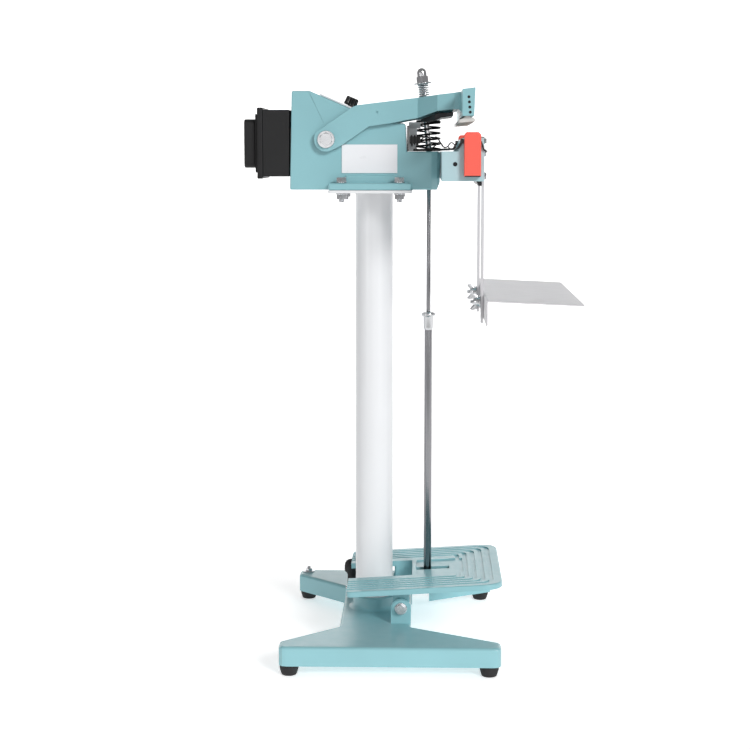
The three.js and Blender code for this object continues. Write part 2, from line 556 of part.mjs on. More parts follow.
add('return_spring', spring(16.3, 2.6, 6, BODY.ledge + GAP, 750, 14)
  .translate([SPRING_SEAT_X, 0, 0]), BLACK());
add('pressure_spring', spring(7.4, 1.7, 7, 0.3, 20, 12), CHROME(), onArm(PRESSURE_SPRING_X, 0));
add('spring_washer', cut(rod('z', 13, 20.3, 22, [0, 0, 0], 24), rod('z', 5, 19, 23, [0, 0, 0], 16)), ZINC(),
  onArm(PRESSURE_SPRING_X, 0));

function domeNut() {
  const nut = joined(hexagon('z', 16.5, 22.3, 30.5, [0, 0, 0]),
    turned('z', [[0, 30], [6.9, 30], [6.9, 36], [6.2, 39], [4.4, 41.6], [2, 42.8], [0, 43]],
      [0, 0, 0], 20));
  return cut(nut, rod('z', 5.2, 21, 40, [-0.5, 0, 0], 16));
}

add('dome_nut', domeNut(), CHROME(), onArm(PRESSURE_SPRING_X, 0));

// ---- pull rod -----------------------------------------------------------------------------------------
function rodClevis() {
  let clevis = joined(box(ROD_X - 7, ROD_X + 7, -8, 8, 670, 676),
    box(ROD_X - 7, ROD_X + 7, 4, 8, 675, 692), box(ROD_X - 7, ROD_X + 7, -8, -4, 675, 692));
  clevis = joined(clevis, rod('y', 2.4, -9.5, 9.5, [ROD_X, 0, STUD.eyeZ], 16));
  return cut(clevis, rod('z', 3.4, 660, 674.5, [ROD_X, 0, 0], 16));
}

add('rod_clevis', rodClevis(), ZINC());
add('pull_rod', rod('z', 3, 446, 674, [ROD_X, 0, 0], 20), CHROME());
add('rod_ferrule', cut(turned('z', [[0, 451], [6.2, 451], [7.3, 453], [7.3, 470], [10.6, 471.5], [10.6, 475],
  [8, 476.5], [0, 476.5]], [ROD_X, 0, 0], 24), rod('z', 3.3, 460, 480, [ROD_X, 0, 0], 16),
rod('z', 5.8, 450, 462, [ROD_X, 0, 0], 20)), ZINC());

const PEDAL_PIN = { x: 77.5, z: 80 };

function rodTube() {
  const eye = [[ROD_X - 9, 71, 5], [ROD_X + 14, 71, 5], [ROD_X + 14, 88, 5], [ROD_X - 9, 88, 5]];
  const tube = joined(rod('z', 5.5, PEDAL_PIN.z + 9, 461.7, [ROD_X, 0, 0], 20), prism('y', eye, -2.5, 2.5),
    box(ROD_X - 5, ROD_X + 5, -2.5, 2.5, 86, 96));
  return cut(tube, prism('y', [[PEDAL_PIN.x - 4.5, 75.2, 2], [PEDAL_PIN.x + 8, 75.2, 2],
    [PEDAL_PIN.x + 8, 84.6, 2], [PEDAL_PIN.x - 4.5, 84.6, 2]], -4, 4),
  rod('z', 3.5, 440, 463, [ROD_X, 0, 0], 16));
}

add('rod_tube', rodTube(), CHROME());

// ---- pedal --------------------------------------------------------------------------------------------
function pedalRing(inset, y, r) {
  const { rear, front } = PEDAL;
  return [[rear - 1, -y], [front - inset, -y, r], [front - inset, y, r], [rear - 1, y]];
}

function pedalPlate() {
  const { rear, front, half, skirt, rim: edge, thick, slotHalf, slotFront } = PEDAL;
  const rim = [[rear, -half, 8], [front, -half, 30], [front, half, 30], [rear, half, 8]];
  let plate = prism('z', outline(rim, 8), -skirt, 0);
  const inside = half - edge;
  const under = [[rear + edge, -inside, 5], [front - edge, -inside, 26], [front - edge, inside, 26],
    [rear + edge, inside, 5]];
  plate = cut(plate, prism('z', outline(under, 8), -skirt - 1, -thick));
  for (let i = 0; i < STEPS.count; i += 1) {
    const inset = STEPS.first + i * STEPS.pitch;
    const rise = inset + STEPS.tread;
    const low = outline(pedalRing(inset, half - inset, 20 - i * 3), 5);
    const high = outline(pedalRing(rise, half - rise, 16 - i * 3), 5);
    plate = cut(plate, prism('z', low, -STEPS.depth, 1));
    plate = joined(plate, prism('z', high, -STEPS.depth - 1, 0)
      .intersect(prism('z', outline(rim, 8), -skirt, 0)));
  }
  plate = cut(plate, box(62, 130, -44, 44, -STEPS.depth, 1));
  const lip = box(rear, slotFront + 4, -slotHalf - 4, slotHalf + 4, -skirt, 0);
  plate = joined(plate, lip);
  plate = cut(plate, box(rear - 1, slotFront, -slotHalf, slotHalf, -skirt - 1, 1));
  return cut(plate, box(ROD_SLOT.rear, ROD_SLOT.front, -ROD_SLOT.half, ROD_SLOT.half, -skirt - 1, 1));
}

// Lugs under the plate: two outer ones on the pivot and two inner ones that carry the rod pin.
function pedal() {
  const { x, z } = PEDAL_PIVOT;
  let whole = pedalPlate().rotate([0, -PEDAL.riseDegrees, 0]).translate([0, 0, PEDAL.topAtColumn]);
  for (const [, side] of SIDES) {
    const lug = new THREE.Shape();
    lug.moveTo(x + LUG.half, z);
    lug.lineTo(x + LUG.half, LUG.topFront);
    lug.lineTo(x - LUG.half, LUG.topRear);
    lug.lineTo(x - LUG.half, z);
    lug.absarc(x, z, LUG.half, Math.PI, 2 * Math.PI);
    whole = joined(whole, prism('y', lug, ...spanY(side, EAR.inner - GAP - LUG.thick, EAR.inner - GAP)));
    const pinLug = [[PEDAL_PIN.x - 8, 98], [PEDAL_PIN.x - 7, 74, 3], [PEDAL_PIN.x + 7, 74, 3],
      [PEDAL_PIN.x + 8, 98.5]];
    whole = joined(whole, prism('y', pinLug, ...spanY(side, 8.4, 13)));
  }
  return cut(whole, rod('y', 5.2, -110, 110, [x, 0, z]),
    rod('y', 3.3, -15, 15, [PEDAL_PIN.x, 0, PEDAL_PIN.z], 16));
}

add('pedal', pedal(), TEAL());
add('rod_pin', joined(rod('y', 3, -15, 15, [PEDAL_PIN.x, 0, PEDAL_PIN.z], 16),
  rod('y', 4.6, -16.5, -13.3, [PEDAL_PIN.x, 0, PEDAL_PIN.z], 16),
  rod('y', 4.6, 13.3, 16.5, [PEDAL_PIN.x, 0, PEDAL_PIN.z], 16)), ZINC());

for (const [name, side] of SIDES) {
  const at = [PEDAL_PIVOT.x, 0, PEDAL_PIVOT.z];
  add(`pedal_bolt_${name}`, joined(rod('y', 4.8, ...spanY(side, 77, 104), at, 20),
    rod('y', 8.7, ...spanY(side, EAR.outer + GAP, EAR.outer + 1.8), at, 20),
    hexagon('y', M8.flats, ...spanY(side, EAR.outer + 1.7, EAR.outer + 7.5), at),
    hexagon('y', M8.flats, ...spanY(side, 76.5, EAR.inner - 2 * GAP - LUG.thick), at)), ZINC());
}

add('pedal_bumper', turned('z', [[0, BASE.top + GAP], [6.5, BASE.top + GAP], [6.5, 66], [10.5, 69], [11, 77],
  [8.5, 82.8], [4, 84.6], [0, 84.8]], [-38, 114, 0], 20), RUBBER());

// ---- microswitch in the notch -------------------------------------------------------------------------
const SWITCH_PLATE = { x: 49.5, front: 61, y: -25, thick: 1.6, foot: -36 };

// Upright plate with a foot on the ledge and a tab that leans out at the top.
function switchBracket() {
  const { x, front, y, thick, foot } = SWITCH_PLATE;
  const bottom = BODY.ledge + GAP;
  const tab = [[y + thick, 738], [y + thick, 740], [y - 10, 746.8], [y - 10.8, 745.4], [y, 738]];
  return joined(box(x, front, y, y + thick, bottom, 740),
    box(x, front, foot, y + thick, bottom, bottom + 1.7), prism('x', tab, x, front + 5));
}

add('switch_bracket', switchBracket(), WHITE());
add('microswitch', joined(box(51, 66, -32, -25.3, 717, 727), rod('z', 1.2, 726, 729, [62, -28.6, 0], 8),
  box(53, 55, -31, -30, 713, 718), box(60, 62, -31, -30, 713, 718)), BLACK());

// ---- shelf --------------------------------------------------------------------------------------------
add('strip_brace', prism('y', [[142, JAW.bottom - GAP], [146, 659], [149.9, 659],
  [149.9, JAW.bottom - GAP]], -STRIP.side - 11, STRIP.side + 11), BLACK());

for (const [name, side] of SIDES) {
  const { x, thick, width, bottom, top } = STRIP;
  const y = side * STRIP.side;
  const shape = new THREE.Shape();
  shape.moveTo(y - width / 2, bottom + width / 2);
  shape.absarc(y, bottom + width / 2, width / 2, Math.PI, 2 * Math.PI);
  shape.lineTo(y + width / 2, top);
  shape.lineTo(y - width / 2, top);
  let strip = prism('x', shape, x, x + thick);
  const slot = [[y - 3.6, 485, 3], [y + 3.6, 485, 3], [y + 3.6, 648, 3], [y - 3.6, 648, 3]];
  strip = cut(strip, prism('x', slot, x - 1, x + thick + 1));
  for (const z of [672.5, 704]) {
    strip = joined(strip, rod('x', 4.6, x + thick - 0.1, x + thick + 2.6, [0, y, z], 16));
  }
  add(`shelf_strip_${name}`, strip, WHITE());

  const at = [0, y, SHELF_BOLT_Z];
  add(`shelf_bolt_${name}`, joined(rod('x', 2.8, 136, SHELF.x + 4, at, 16),
    turned('x', [[0, SHELF.x + SHELF.thick + GAP], [7, SHELF.x + SHELF.thick + GAP], [6, SHELF.x + 4.4],
      [3, SHELF.x + 5.6], [0, SHELF.x + 6]], at, 20)), ZINC());
  let nut = turned('x', [[0, 140], [5, 140], [6.6, 148.5], [8.5, 148.6], [8.5, STRIP.x - GAP],
    [0, STRIP.x - GAP]], at, 20);
  for (const way of [-1, 1]) {
    const wing = [[147, 3], [146.5, 7], [139, 14.5], [134.5, 13.5], [136.5, 8], [141, 3]]
      .map(([x, rise]) => [x, SHELF_BOLT_Z + way * rise]);
    nut = joined(nut, prism('y', way > 0 ? wing : wing.reverse(), y - 1.2, y + 1.2));
  }
  add(`wing_nut_${name}`, cut(nut, rod('x', 3.1, 133, 152, at, 16)), ZINC());
}

function shelf() {
  const { x, thick, top, flange, half, droop } = SHELF;
  const tipX = SHELF_REACH;
  const fall = (tipX - x) * Math.tan(droop);
  const profile = [[x, top - flange], [x + thick, top - flange], [x + thick, top - thick - 0.1],
    [tipX, top - thick - fall], [tipX, top - fall], [x + 2, top], [x, top - 2]];
  let plate = prism('y', profile, -half, half);
  for (const y of [-STRIP.side, STRIP.side]) {
    plate = cut(plate, rod('x', 3.2, x - 1, x + thick + 1, [0, y, SHELF_BOLT_Z], 16));
  }
  return plate;
}

add('shelf', shelf(), finish(0xd4d4d6, 0.45));

export default machine;
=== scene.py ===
"""Looks of the pedal-operated impulse heat sealer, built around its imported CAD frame. Metres, +Z up."""
import json
import math

import bmesh
import bpy
from mathutils import Matrix, Vector


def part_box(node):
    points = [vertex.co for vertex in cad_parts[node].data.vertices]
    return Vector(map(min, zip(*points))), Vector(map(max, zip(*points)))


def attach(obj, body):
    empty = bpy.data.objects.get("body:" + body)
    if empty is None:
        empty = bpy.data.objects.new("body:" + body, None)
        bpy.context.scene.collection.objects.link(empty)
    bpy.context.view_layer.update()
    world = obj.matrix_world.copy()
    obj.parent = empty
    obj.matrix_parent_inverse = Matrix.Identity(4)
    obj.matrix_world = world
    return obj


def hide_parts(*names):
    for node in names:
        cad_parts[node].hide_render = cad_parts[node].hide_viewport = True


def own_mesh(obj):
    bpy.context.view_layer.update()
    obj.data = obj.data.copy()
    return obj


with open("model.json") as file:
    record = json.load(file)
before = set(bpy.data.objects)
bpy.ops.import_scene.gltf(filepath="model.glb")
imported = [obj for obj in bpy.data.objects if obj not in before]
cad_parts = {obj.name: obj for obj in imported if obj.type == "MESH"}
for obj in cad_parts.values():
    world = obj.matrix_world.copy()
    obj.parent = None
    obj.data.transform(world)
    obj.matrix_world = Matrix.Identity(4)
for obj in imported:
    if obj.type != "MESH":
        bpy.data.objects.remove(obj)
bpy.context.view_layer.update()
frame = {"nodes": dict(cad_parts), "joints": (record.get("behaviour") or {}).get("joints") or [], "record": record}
MM = 0.001
TAU = 2 * math.pi
BODY_OF = {node: body for body, nodes in frame["record"]["behaviour"]["bodies"].items() for node in nodes}
JOINTS = {joint["name"]: joint for joint in frame["joints"]}
SIDES = (("left", -1), ("right", 1))


def middle(node):
    low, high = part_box(node)
    return (low + high) / 2


COLUMN_X = middle("column").x


# ---- camera, light and floor ----------------------------------------------------------------------------
CAMERA_DISTANCE = 2.5
CAMERA_HEIGHT = 0.705
CAMERA_SIDE = 0.0729
CAMERA_PITCH = math.radians(7.3)
CAMERA_YAW = math.radians(1.646)
LENS = 83.5
HORIZON = (0.28, 0.28, 0.285)
ZENITH = (0.27, 0.27, 0.27)
KEY_DIRECTION = (-0.45, 0.79, -0.43)
KEY_SPREAD = math.radians(16)
KEY_STRENGTH = 1.75
# Name, place, size and power of each rectangular lamp, all of them aimed at one point of the object.
SOFTBOXES = (("front_box", (0.1, -3.4, 0.6), (1.4, 1.2), 5.5),
             ("left_strip", (-1.9, -2.2, 0.6), (0.3, 1.7), 8.0),
             ("right_strip", (1.7, -2.4, 0.6), (0.25, 1.7), 6.5))
SOFTBOX_AIM = Vector((0, 0, 0.55))
# The floor's glow and colour rise along Y, between these two lines in front of the object.
FLOOR_FADE = (-0.95, -0.5)
FLOOR_GLOW = (0.12, 0.5)
FLOOR_SHADE = (0.7, 1.0)
FLOOR_NEAR = -6.0
FLOOR_HALF_WIDTH = 7.0
WALL_BEND, WALL_REACH, WALL_TOP = 1.6, 3.4, 4.0
WALL_STEPS = 16


def make_camera():
    data = bpy.data.cameras.new("camera")
    data.lens = LENS
    data.sensor_width = 36
    data.clip_end = 50
    camera = bpy.data.objects.new("camera", data)
    camera.location = (COLUMN_X + CAMERA_SIDE, -CAMERA_DISTANCE, CAMERA_HEIGHT)
    camera.rotation_euler = (math.pi / 2 - CAMERA_PITCH, 0, CAMERA_YAW)
    bpy.context.scene.collection.objects.link(camera)
    bpy.context.scene.camera = camera


def make_key_light():
    """Parallel light from the front, the left and above, wide enough for soft shadow edges."""
    data = bpy.data.lights.new("key", "SUN")
    data.angle = KEY_SPREAD
    data.energy = KEY_STRENGTH
    lamp = bpy.data.objects.new("key", data)
    lamp.rotation_euler = Vector(KEY_DIRECTION).to_track_quat("-Z", "Y").to_euler()
    bpy.context.scene.collection.objects.link(lamp)


def make_softbox(name, place, size, power):
    """Rectangular lamp aimed at the object, which metal and rounded edges mirror."""
    data = bpy.data.lights.new(name, "AREA")
    data.shape = "RECTANGLE"
    data.size, data.size_y = size
    data.energy = power
    lamp = bpy.data.objects.new(name, data)
    lamp.location = place
    lamp.rotation_euler = (SOFTBOX_AIM - Vector(place)).to_track_quat("-Z", "Y").to_euler()
    bpy.context.scene.collection.objects.link(lamp)


def make_world():
    """Pale grey studio surround, nearly the same from horizon to zenith."""
    world = bpy.data.worlds.new("studio")
    bpy.context.scene.world = world
    world.use_nodes = True
    tree = world.node_tree
    coords = tree.nodes.new("ShaderNodeTexCoord")
    split = tree.nodes.new("ShaderNodeSeparateXYZ")
    link(tree, coords, "Generated", split, "Vector")
    ramp = tree.nodes.new("ShaderNodeValToRGB")
    ramp.color_ramp.elements[0].position = 0.05
    ramp.color_ramp.elements[0].color = (*HORIZON, 1)
    ramp.color_ramp.elements[1].position = 0.75
    ramp.color_ramp.elements[1].color = (*ZENITH, 1)
    link(tree, split, "Z", ramp, "Fac")
    link(tree, ramp, "Color", tree.nodes["Background"], "Color")


def floor_fade(tree, split, low, high):
    """Value that rises from low to high along Y, between the two lines of FLOOR_FADE."""
    fade = tree.nodes.new("ShaderNodeMapRange")
    fade.inputs["From Min"].default_value, fade.inputs["From Max"].default_value = FLOOR_FADE
    fade.inputs["To Min"].default_value = low
    fade.inputs["To Max"].default_value = high
    link(tree, split, "Y", fade, "Value")
    return fade


def floor_paper():
    paper = surface("floor_paper", (0.93, 0.93, 0.93), 0.9, tint=0.004, bump=(300, 0.02))
    tree = paper.node_tree
    shader = tree.nodes["Principled BSDF"]
    shader.inputs["Emission Color"].default_value = (1, 1, 1, 1)
    coords = next(n for n in tree.nodes if n.type == "TEX_COORD")
    cloud = next(n for n in tree.nodes if n.type == "VALTORGB")
    split = tree.nodes.new("ShaderNodeSeparateXYZ")
    link(tree, coords, "Object", split, "Vector")
    glow = floor_fade(tree, split, *FLOOR_GLOW)
    glow.interpolation_type = "SMOOTHSTEP"
    link(tree, glow, "Result", shader, "Emission Strength")
    shade = floor_fade(tree, split, *FLOOR_SHADE)
    darker = tree.nodes.new("ShaderNodeVectorMath")
    darker.operation = "SCALE"
    link(tree, cloud, "Color", darker, "Vector")
    link(tree, shade, "Result", darker, "Scale")
    link(tree, darker, "Vector", shader, "Base Color")
    return paper


def make_floor():
    """A pale sweep: a floor that curves up into a back wall."""
    profile = [(FLOOR_NEAR, 0.0), (WALL_REACH, 0.0)]
    profile += [(WALL_REACH + WALL_BEND * math.sin(a), WALL_BEND * (1 - math.cos(a)))
                for a in (math.pi / 2 * i / WALL_STEPS for i in range(1, WALL_STEPS + 1))]
    profile.append((WALL_REACH + WALL_BEND, WALL_TOP))
    rows = [[Vector((x, y, z)) for y, z in profile] for x in (-FLOOR_HALF_WIDTH, FLOOR_HALF_WIDTH)]
    floor = grid_object("floor", rows)
    floor.data.materials.append(floor_paper())


def make_studio():
    make_world()
    make_key_light()
    for row in SOFTBOXES:
        make_softbox(*row)
    make_floor()
    bpy.context.scene.view_settings.view_transform = "Standard"


# ---- materials ------------------------------------------------------------------------------------------
def srgb(red, green, blue):
    """Linear colour of an 8-bit screen colour."""
    def linear(value):
        value /= 255
        return value / 12.92 if value <= 0.04045 else ((value + 0.055) / 1.055) ** 2.4
    return tuple(linear(v) for v in (red, green, blue))


def link(tree, out_node, out_name, in_node, in_name):
    tree.links.new(out_node.outputs[out_name], in_node.inputs[in_name])


NOISE_SPAN = (0.3, 0.7)     # the part of a noise texture's range that carries the pattern


def noise(tree, coords, scale, detail=4.0):
    texture = tree.nodes.new("ShaderNodeTexNoise")
    texture.inputs["Scale"].default_value = scale
    texture.inputs["Detail"].default_value = detail
    link(tree, coords, "Vector", texture, "Vector")
    return texture


def surface(name, color, roughness, metallic=0.0, tint=0.05, tint_scale=9, spread=0.08, spread_scale=60,
            bump=(900, 0.1), bump_depth=0.03 * MM, stretch=(1, 1, 1), coat=0.0, specular=0.5):
    """Procedural finish: cloudy colour and roughness, and a fine bump, in the object's own coordinates."""
    material = bpy.data.materials.new(name)
    material.use_nodes = True
    tree = material.node_tree
    shader = tree.nodes["Principled BSDF"]
    shader.inputs["Metallic"].default_value = metallic
    shader.inputs["Coat Weight"].default_value = coat
    shader.inputs["Coat Roughness"].default_value = 0.12
    shader.inputs["Specular IOR Level"].default_value = specular
    texture = tree.nodes.new("ShaderNodeTexCoord")
    coords = tree.nodes.new("ShaderNodeMapping")
    coords.inputs["Scale"].default_value = stretch
    link(tree, texture, "Object", coords, "Vector")

    cloud = noise(tree, coords, tint_scale)
    ramp = tree.nodes.new("ShaderNodeValToRGB")
    ramp.color_ramp.elements[0].position, ramp.color_ramp.elements[1].position = NOISE_SPAN
    ramp.color_ramp.elements[0].color = (*[c * (1 - tint) for c in color], 1)
    ramp.color_ramp.elements[1].color = (*[min(1, c * (1 + tint)) for c in color], 1)
    link(tree, cloud, "Fac", ramp, "Fac")
    link(tree, ramp, "Color", shader, "Base Color")

    patches = noise(tree, coords, spread_scale)
    remap = tree.nodes.new("ShaderNodeMapRange")
    remap.inputs["From Min"].default_value, remap.inputs["From Max"].default_value = NOISE_SPAN
    remap.inputs["To Min"].default_value = max(0.02, roughness - spread)
    remap.inputs["To Max"].default_value = min(1.0, roughness + spread)
    link(tree, patches, "Fac", remap, "Value")
    link(tree, remap, "Result", shader, "Roughness")

    grain = noise(tree, coords, bump[0], 3.0)
    relief = tree.nodes.new("ShaderNodeBump")
    relief.inputs["Strength"].default_value = bump[1]
    relief.inputs["Distance"].default_value = bump_depth
    link(tree, grain, "Fac", relief, "Height")
    link(tree, relief, "Normal", shader, "Normal")
    return material


def striped(name, color, dark, pitch, axis, roughness, metallic=0.0, depth=0.15 * MM):
    """Fine parallel lines along one axis, such as laminations, windings or a woven cloth."""
    material = surface(name, color, roughness, metallic)
    tree = material.node_tree
    shader = tree.nodes["Principled BSDF"]
    texture = next(n for n in tree.nodes if n.type == "TEX_COORD")
    wave = tree.nodes.new("ShaderNodeTexWave")
    wave.bands_direction = axis
    wave.inputs["Scale"].default_value = 1 / (pitch * math.pi)
    wave.inputs["Distortion"].default_value = 0.4
    wave.inputs["Detail Scale"].default_value = 40
    link(tree, texture, "Object", wave, "Vector")
    ramp = tree.nodes.new("ShaderNodeValToRGB")
    ramp.color_ramp.elements[0].color = (*dark, 1)
    ramp.color_ramp.elements[1].color = (*color, 1)
    ramp.color_ramp.elements[0].position = 0.2
    link(tree, wave, "Fac", ramp, "Fac")
    link(tree, ramp, "Color", shader, "Base Color")
    relief = tree.nodes.new("ShaderNodeBump")
    relief.inputs["Strength"].default_value = 0.5
    relief.inputs["Distance"].default_value = depth
    link(tree, wave, "Fac", relief, "Height")
    link(tree, relief, "Normal", shader, "Normal")
    return material


def make_materials():
    return {
        "teal": surface("teal_powder_coat", srgb(136, 186, 193), 0.36, tint=0.035, spread=0.05,
                        bump=(900, 0.2), coat=0.2),
        "pale_teal": surface("pale_teal_coat", srgb(172, 203, 209), 0.42, tint=0.03,
                             bump=(900, 0.16), coat=0.1),
        "white": surface("white_gloss_coat", srgb(228, 229, 231), 0.3, tint=0.01, spread=0.02,
                         bump=(500, 0.1), coat=0.2),
        "shelf": surface("shelf_coat", srgb(206, 204, 207), 0.42, tint=0.015, spread=0.04, bump=(900, 0.12)),
        "plate": surface("plate_white", srgb(238, 238, 241), 0.35, tint=0.012, bump=(800, 0.04)),
        "black": surface("black_moulding", srgb(24, 24, 25), 0.48, tint=0.18, spread=0.06, bump=(1400, 0.25),
                         specular=0.35),
        "black_gloss": surface("black_knob", srgb(24, 24, 25), 0.3, tint=0.15, bump=(1800, 0.12)),
        "red": surface("red_moulding", srgb(246, 96, 80), 0.46, tint=0.03, bump=(2200, 0.16)),
        "lens": surface("red_lens", srgb(226, 60, 66), 0.12, tint=0.05, bump=(300, 0.02), coat=0.6),
        "zinc": surface("zinc_plate", srgb(212, 213, 215), 0.24, 1.0, tint=0.05, spread=0.06,
                        bump=(1100, 0.12)),
        "rod": surface("drawn_steel", srgb(150, 150, 153), 0.24, 1.0, tint=0.06, spread=0.05,
                       bump=(700, 0.1), stretch=(3, 3, 0.2)),
        "chrome": surface("polished_steel", srgb(214, 214, 216), 0.13, 1.0, tint=0.05, spread=0.05,
                          bump=(500, 0.08), stretch=(3, 3, 0.4)),
        "aluminium": surface("mill_aluminium", srgb(200, 202, 204), 0.34, 1.0, tint=0.06, bump=(1200, 0.15),
                             stretch=(1, 0.05, 1)),
        "black_steel": surface("blackened_steel", srgb(46, 45, 47), 0.35, 0.7, tint=0.2, spread=0.12,
                               bump=(1600, 0.2)),
        "rubber": surface("black_rubber", srgb(27, 26, 28), 0.72, tint=0.22, bump=(1800, 0.35)),
        "silicone": surface("silicone", srgb(206, 205, 201), 0.55, tint=0.05, bump=(1200, 0.2)),
        "nichrome": surface("nichrome", srgb(158, 156, 150), 0.3, 1.0, tint=0.12, bump=(900, 0.1),
                            stretch=(1, 0.1, 1)),
        "cable": surface("black_cable", srgb(33, 28, 29), 0.4, tint=0.15, bump=(1200, 0.12)),
        "board": surface("circuit_board", srgb(38, 92, 56), 0.4, tint=0.2, tint_scale=300, bump=(900, 0.2)),
        "core": striped("core_laminations", srgb(104, 106, 110), srgb(54, 55, 58), 0.7 * MM, "Y",
                        roughness=0.4, metallic=0.8),
        "coil": striped("coil_winding", srgb(170, 96, 48), srgb(110, 55, 25), 1.0 * MM, "Z",
                        roughness=0.35, metallic=0.4),
        "ptfe": striped("ptfe_glass_cloth", srgb(158, 126, 92), srgb(128, 100, 72), 0.6 * MM, "Y",
                        roughness=0.4),
        "ink": surface("grey_ink", srgb(88, 92, 96), 0.5, tint=0.05),
    }


# ---- mesh helpers ---------------------------------------------------------------------------------------
def new_object(name, mesh_data, smooth_angle=40):
    mesh = bpy.data.meshes.new(name)
    mesh_data.normal_update()
    mesh_data.to_mesh(mesh)
    mesh_data.free()
    mesh.shade_smooth()
    mesh.set_sharp_from_angle(angle=math.radians(smooth_angle))
    piece = bpy.data.objects.new(name, mesh)
    bpy.context.scene.collection.objects.link(piece)
    return piece


def grid_object(name, rows):
    data = bmesh.new()
    verts = [[data.verts.new(p) for p in row] for row in rows]
    for below, above in zip(verts, verts[1:]):
        for i in range(len(below) - 1):
            data.faces.new((below[i], above[i], above[i + 1], below[i + 1]))
    return new_object(name, data, 80)


def add_rings(data, rings, closed=True, caps=True):
    """Skin of rings of points, each ring with the same count, with flat ends."""
    loops = [[data.verts.new(p) for p in ring] for ring in rings]
    count = len(loops[0])
    for below, above in zip(loops, loops[1:]):
        for i in range(count if closed else count - 1):
            j = (i + 1) % count
            data.faces.new((below[i], below[j], above[j], above[i]))
    if caps:
        data.faces.new(list(reversed(loops[0])))
        data.faces.new(loops[-1])
    return loops


AXES = {"z": Matrix.Identity(3), "x": Matrix(((0, 0, 1), (0, 1, 0), (-1, 0, 0))),
        "y": Matrix(((1, 0, 0), (0, 0, 1), (0, -1, 0)))}


def spot(turn, centre, radius, angle, height):
    return Vector(centre) + turn @ Vector((radius * math.cos(angle), radius * math.sin(angle), height))


def add_lathe(data, profile, centre, turn=AXES["z"], segments=64):
    """Turned body: profile of (radius, height) from bottom to top; the ends are closed flat."""
    rings = [[spot(turn, centre, r, TAU * i / segments, h) for i in range(segments)] for r, h in profile]
    add_rings(data, rings)


def add_tube(data, points, radius, sides=12):
    """Round wire through points, with flat ends."""
    rings = []
    normal = None
    for i, point in enumerate(points):
        ahead = points[min(i + 1, len(points) - 1)]
        behind = points[max(i - 1, 0)]
        tangent = (ahead - behind).normalized()
        if normal is None:
            normal = tangent.orthogonal().normalized()
        normal = (normal - tangent * normal.dot(tangent)).normalized()
        side = tangent.cross(normal)
        turns = [TAU * k / sides for k in range(sides)]
        rings.append([point + radius * (math.cos(a) * normal + math.sin(a) * side) for a in turns])
    add_rings(data, rings)


def add_washer(data, radius, low, high, centre, turn=AXES["z"], edge=0.4 * MM):
    """Round disc with chamfered edges."""
    add_lathe(data, [(radius - edge, low), (radius, low + edge), (radius, high - edge),
                     (radius - edge, high)], centre, turn)


def add_block(data, low, high):
    corners = [(low[0], low[1]), (high[0], low[1]), (high[0], high[1]), (low[0], high[1])]
    add_rings(data, [[Vector((x, y, z)) for x, y in corners] for z in (low[2], high[2])])


HEX_STEPS = 12      # points along each flat
HEX_CROWN = 0.98    # radius of the turned face, over half the width across flats


def add_hex(data, flats, low, high, centre, turn=AXES["z"], chamfer_low=False, chamfer_high=True):
    """Hexagon head or nut with its corners turned off at 30 degrees."""
    inner = flats / 2 * HEX_CROWN
    count = 6 * HEX_STEPS

    def ring(height, sign, full):
        points = []
        for i in range(count):
            angle = TAU * i / count
            corner = flats / 2 / math.cos((angle + math.pi / 6) % (math.pi / 3) - math.pi / 6)
            radius = corner if full else inner
            drop = (corner - inner) * math.tan(math.pi / 6) if full and sign else 0
            points.append(spot(turn, centre, radius, angle, height - sign * drop))
        return points

    rings = []
    if chamfer_low:
        rings.append(ring(low, 0, False))
    rings.append(ring(low, -1 if chamfer_low else 0, True))
    rings.append(ring(high, 1 if chamfer_high else 0, True))
    if chamfer_high:
        rings.append(ring(high, 0, False))
    add_rings(data, rings)


def add_thread(data, radius, low, high, centre, turn=AXES["z"], pitch=1.25 * MM, sides=24):
    """Screw thread: the radius falls and rises along a helix."""
    depth = 0.6 * pitch
    step = pitch / 4
    count = max(2, int((high - low) / step))
    rings = []
    for k in range(count + 1):
        height = low + (high - low) * k / count
        ring = []
        for i in range(sides):
            phase = (height / pitch - i / sides) % 1.0
            valley = 1 - abs(2 * phase - 1)
            ring.append(spot(turn, centre, radius - depth * valley, TAU * i / sides, height))
        rings.append(ring)
    add_rings(data, rings)


def finish_piece(piece, node, material):
    """The piece stands for its CAD node and rides on its body."""
    piece.data.materials.clear()
    piece.data.materials.append(material)
    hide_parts(node)
    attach(piece, BODY_OF[node])


def extra_piece(piece, node, material):
    """A detail that goes with a node without standing for it."""
    piece.data.materials.append(material)
    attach(piece, BODY_OF[node])


def sharp_edges(data):
    return [e for e in data.edges if e.is_manifold and e.calc_face_angle(0) > math.radians(SHARP)]


def connected(edges):
    """Groups of edges that hang together, each with its largest extent."""
    group_of = {}
    members = {}
    for edge in edges:
        ids = {group_of[v] for v in edge.verts if v in group_of}
        home = min(ids) if ids else edge.index
        merged = members.setdefault(home, [])
        merged.append(edge)
        for other in ids - {home}:
            for moved in members[other]:
                for vert in moved.verts:
                    group_of[vert] = home
            merged.extend(members.pop(other))
        for vert in edge.verts:
            group_of[vert] = home
    groups = []
    for group in members.values():
        points = [v.co for e in group for v in e.verts]
        groups.append((group, max(max(p[i] for p in points) - min(p[i] for p in points) for i in range(3))))
    return groups


SHARP = 28                  # degrees: edges sharper than this are rounded
SMALL_HOLE = 15 * MM
SMALL_HOLE_WEIGHT = 0.25
LONG_RIM = 70 * MM
RIM_SEGMENTS = 5
WELD = 0.002 * MM
FLAT = math.radians(0.4)    # faces that meet at less than this become one


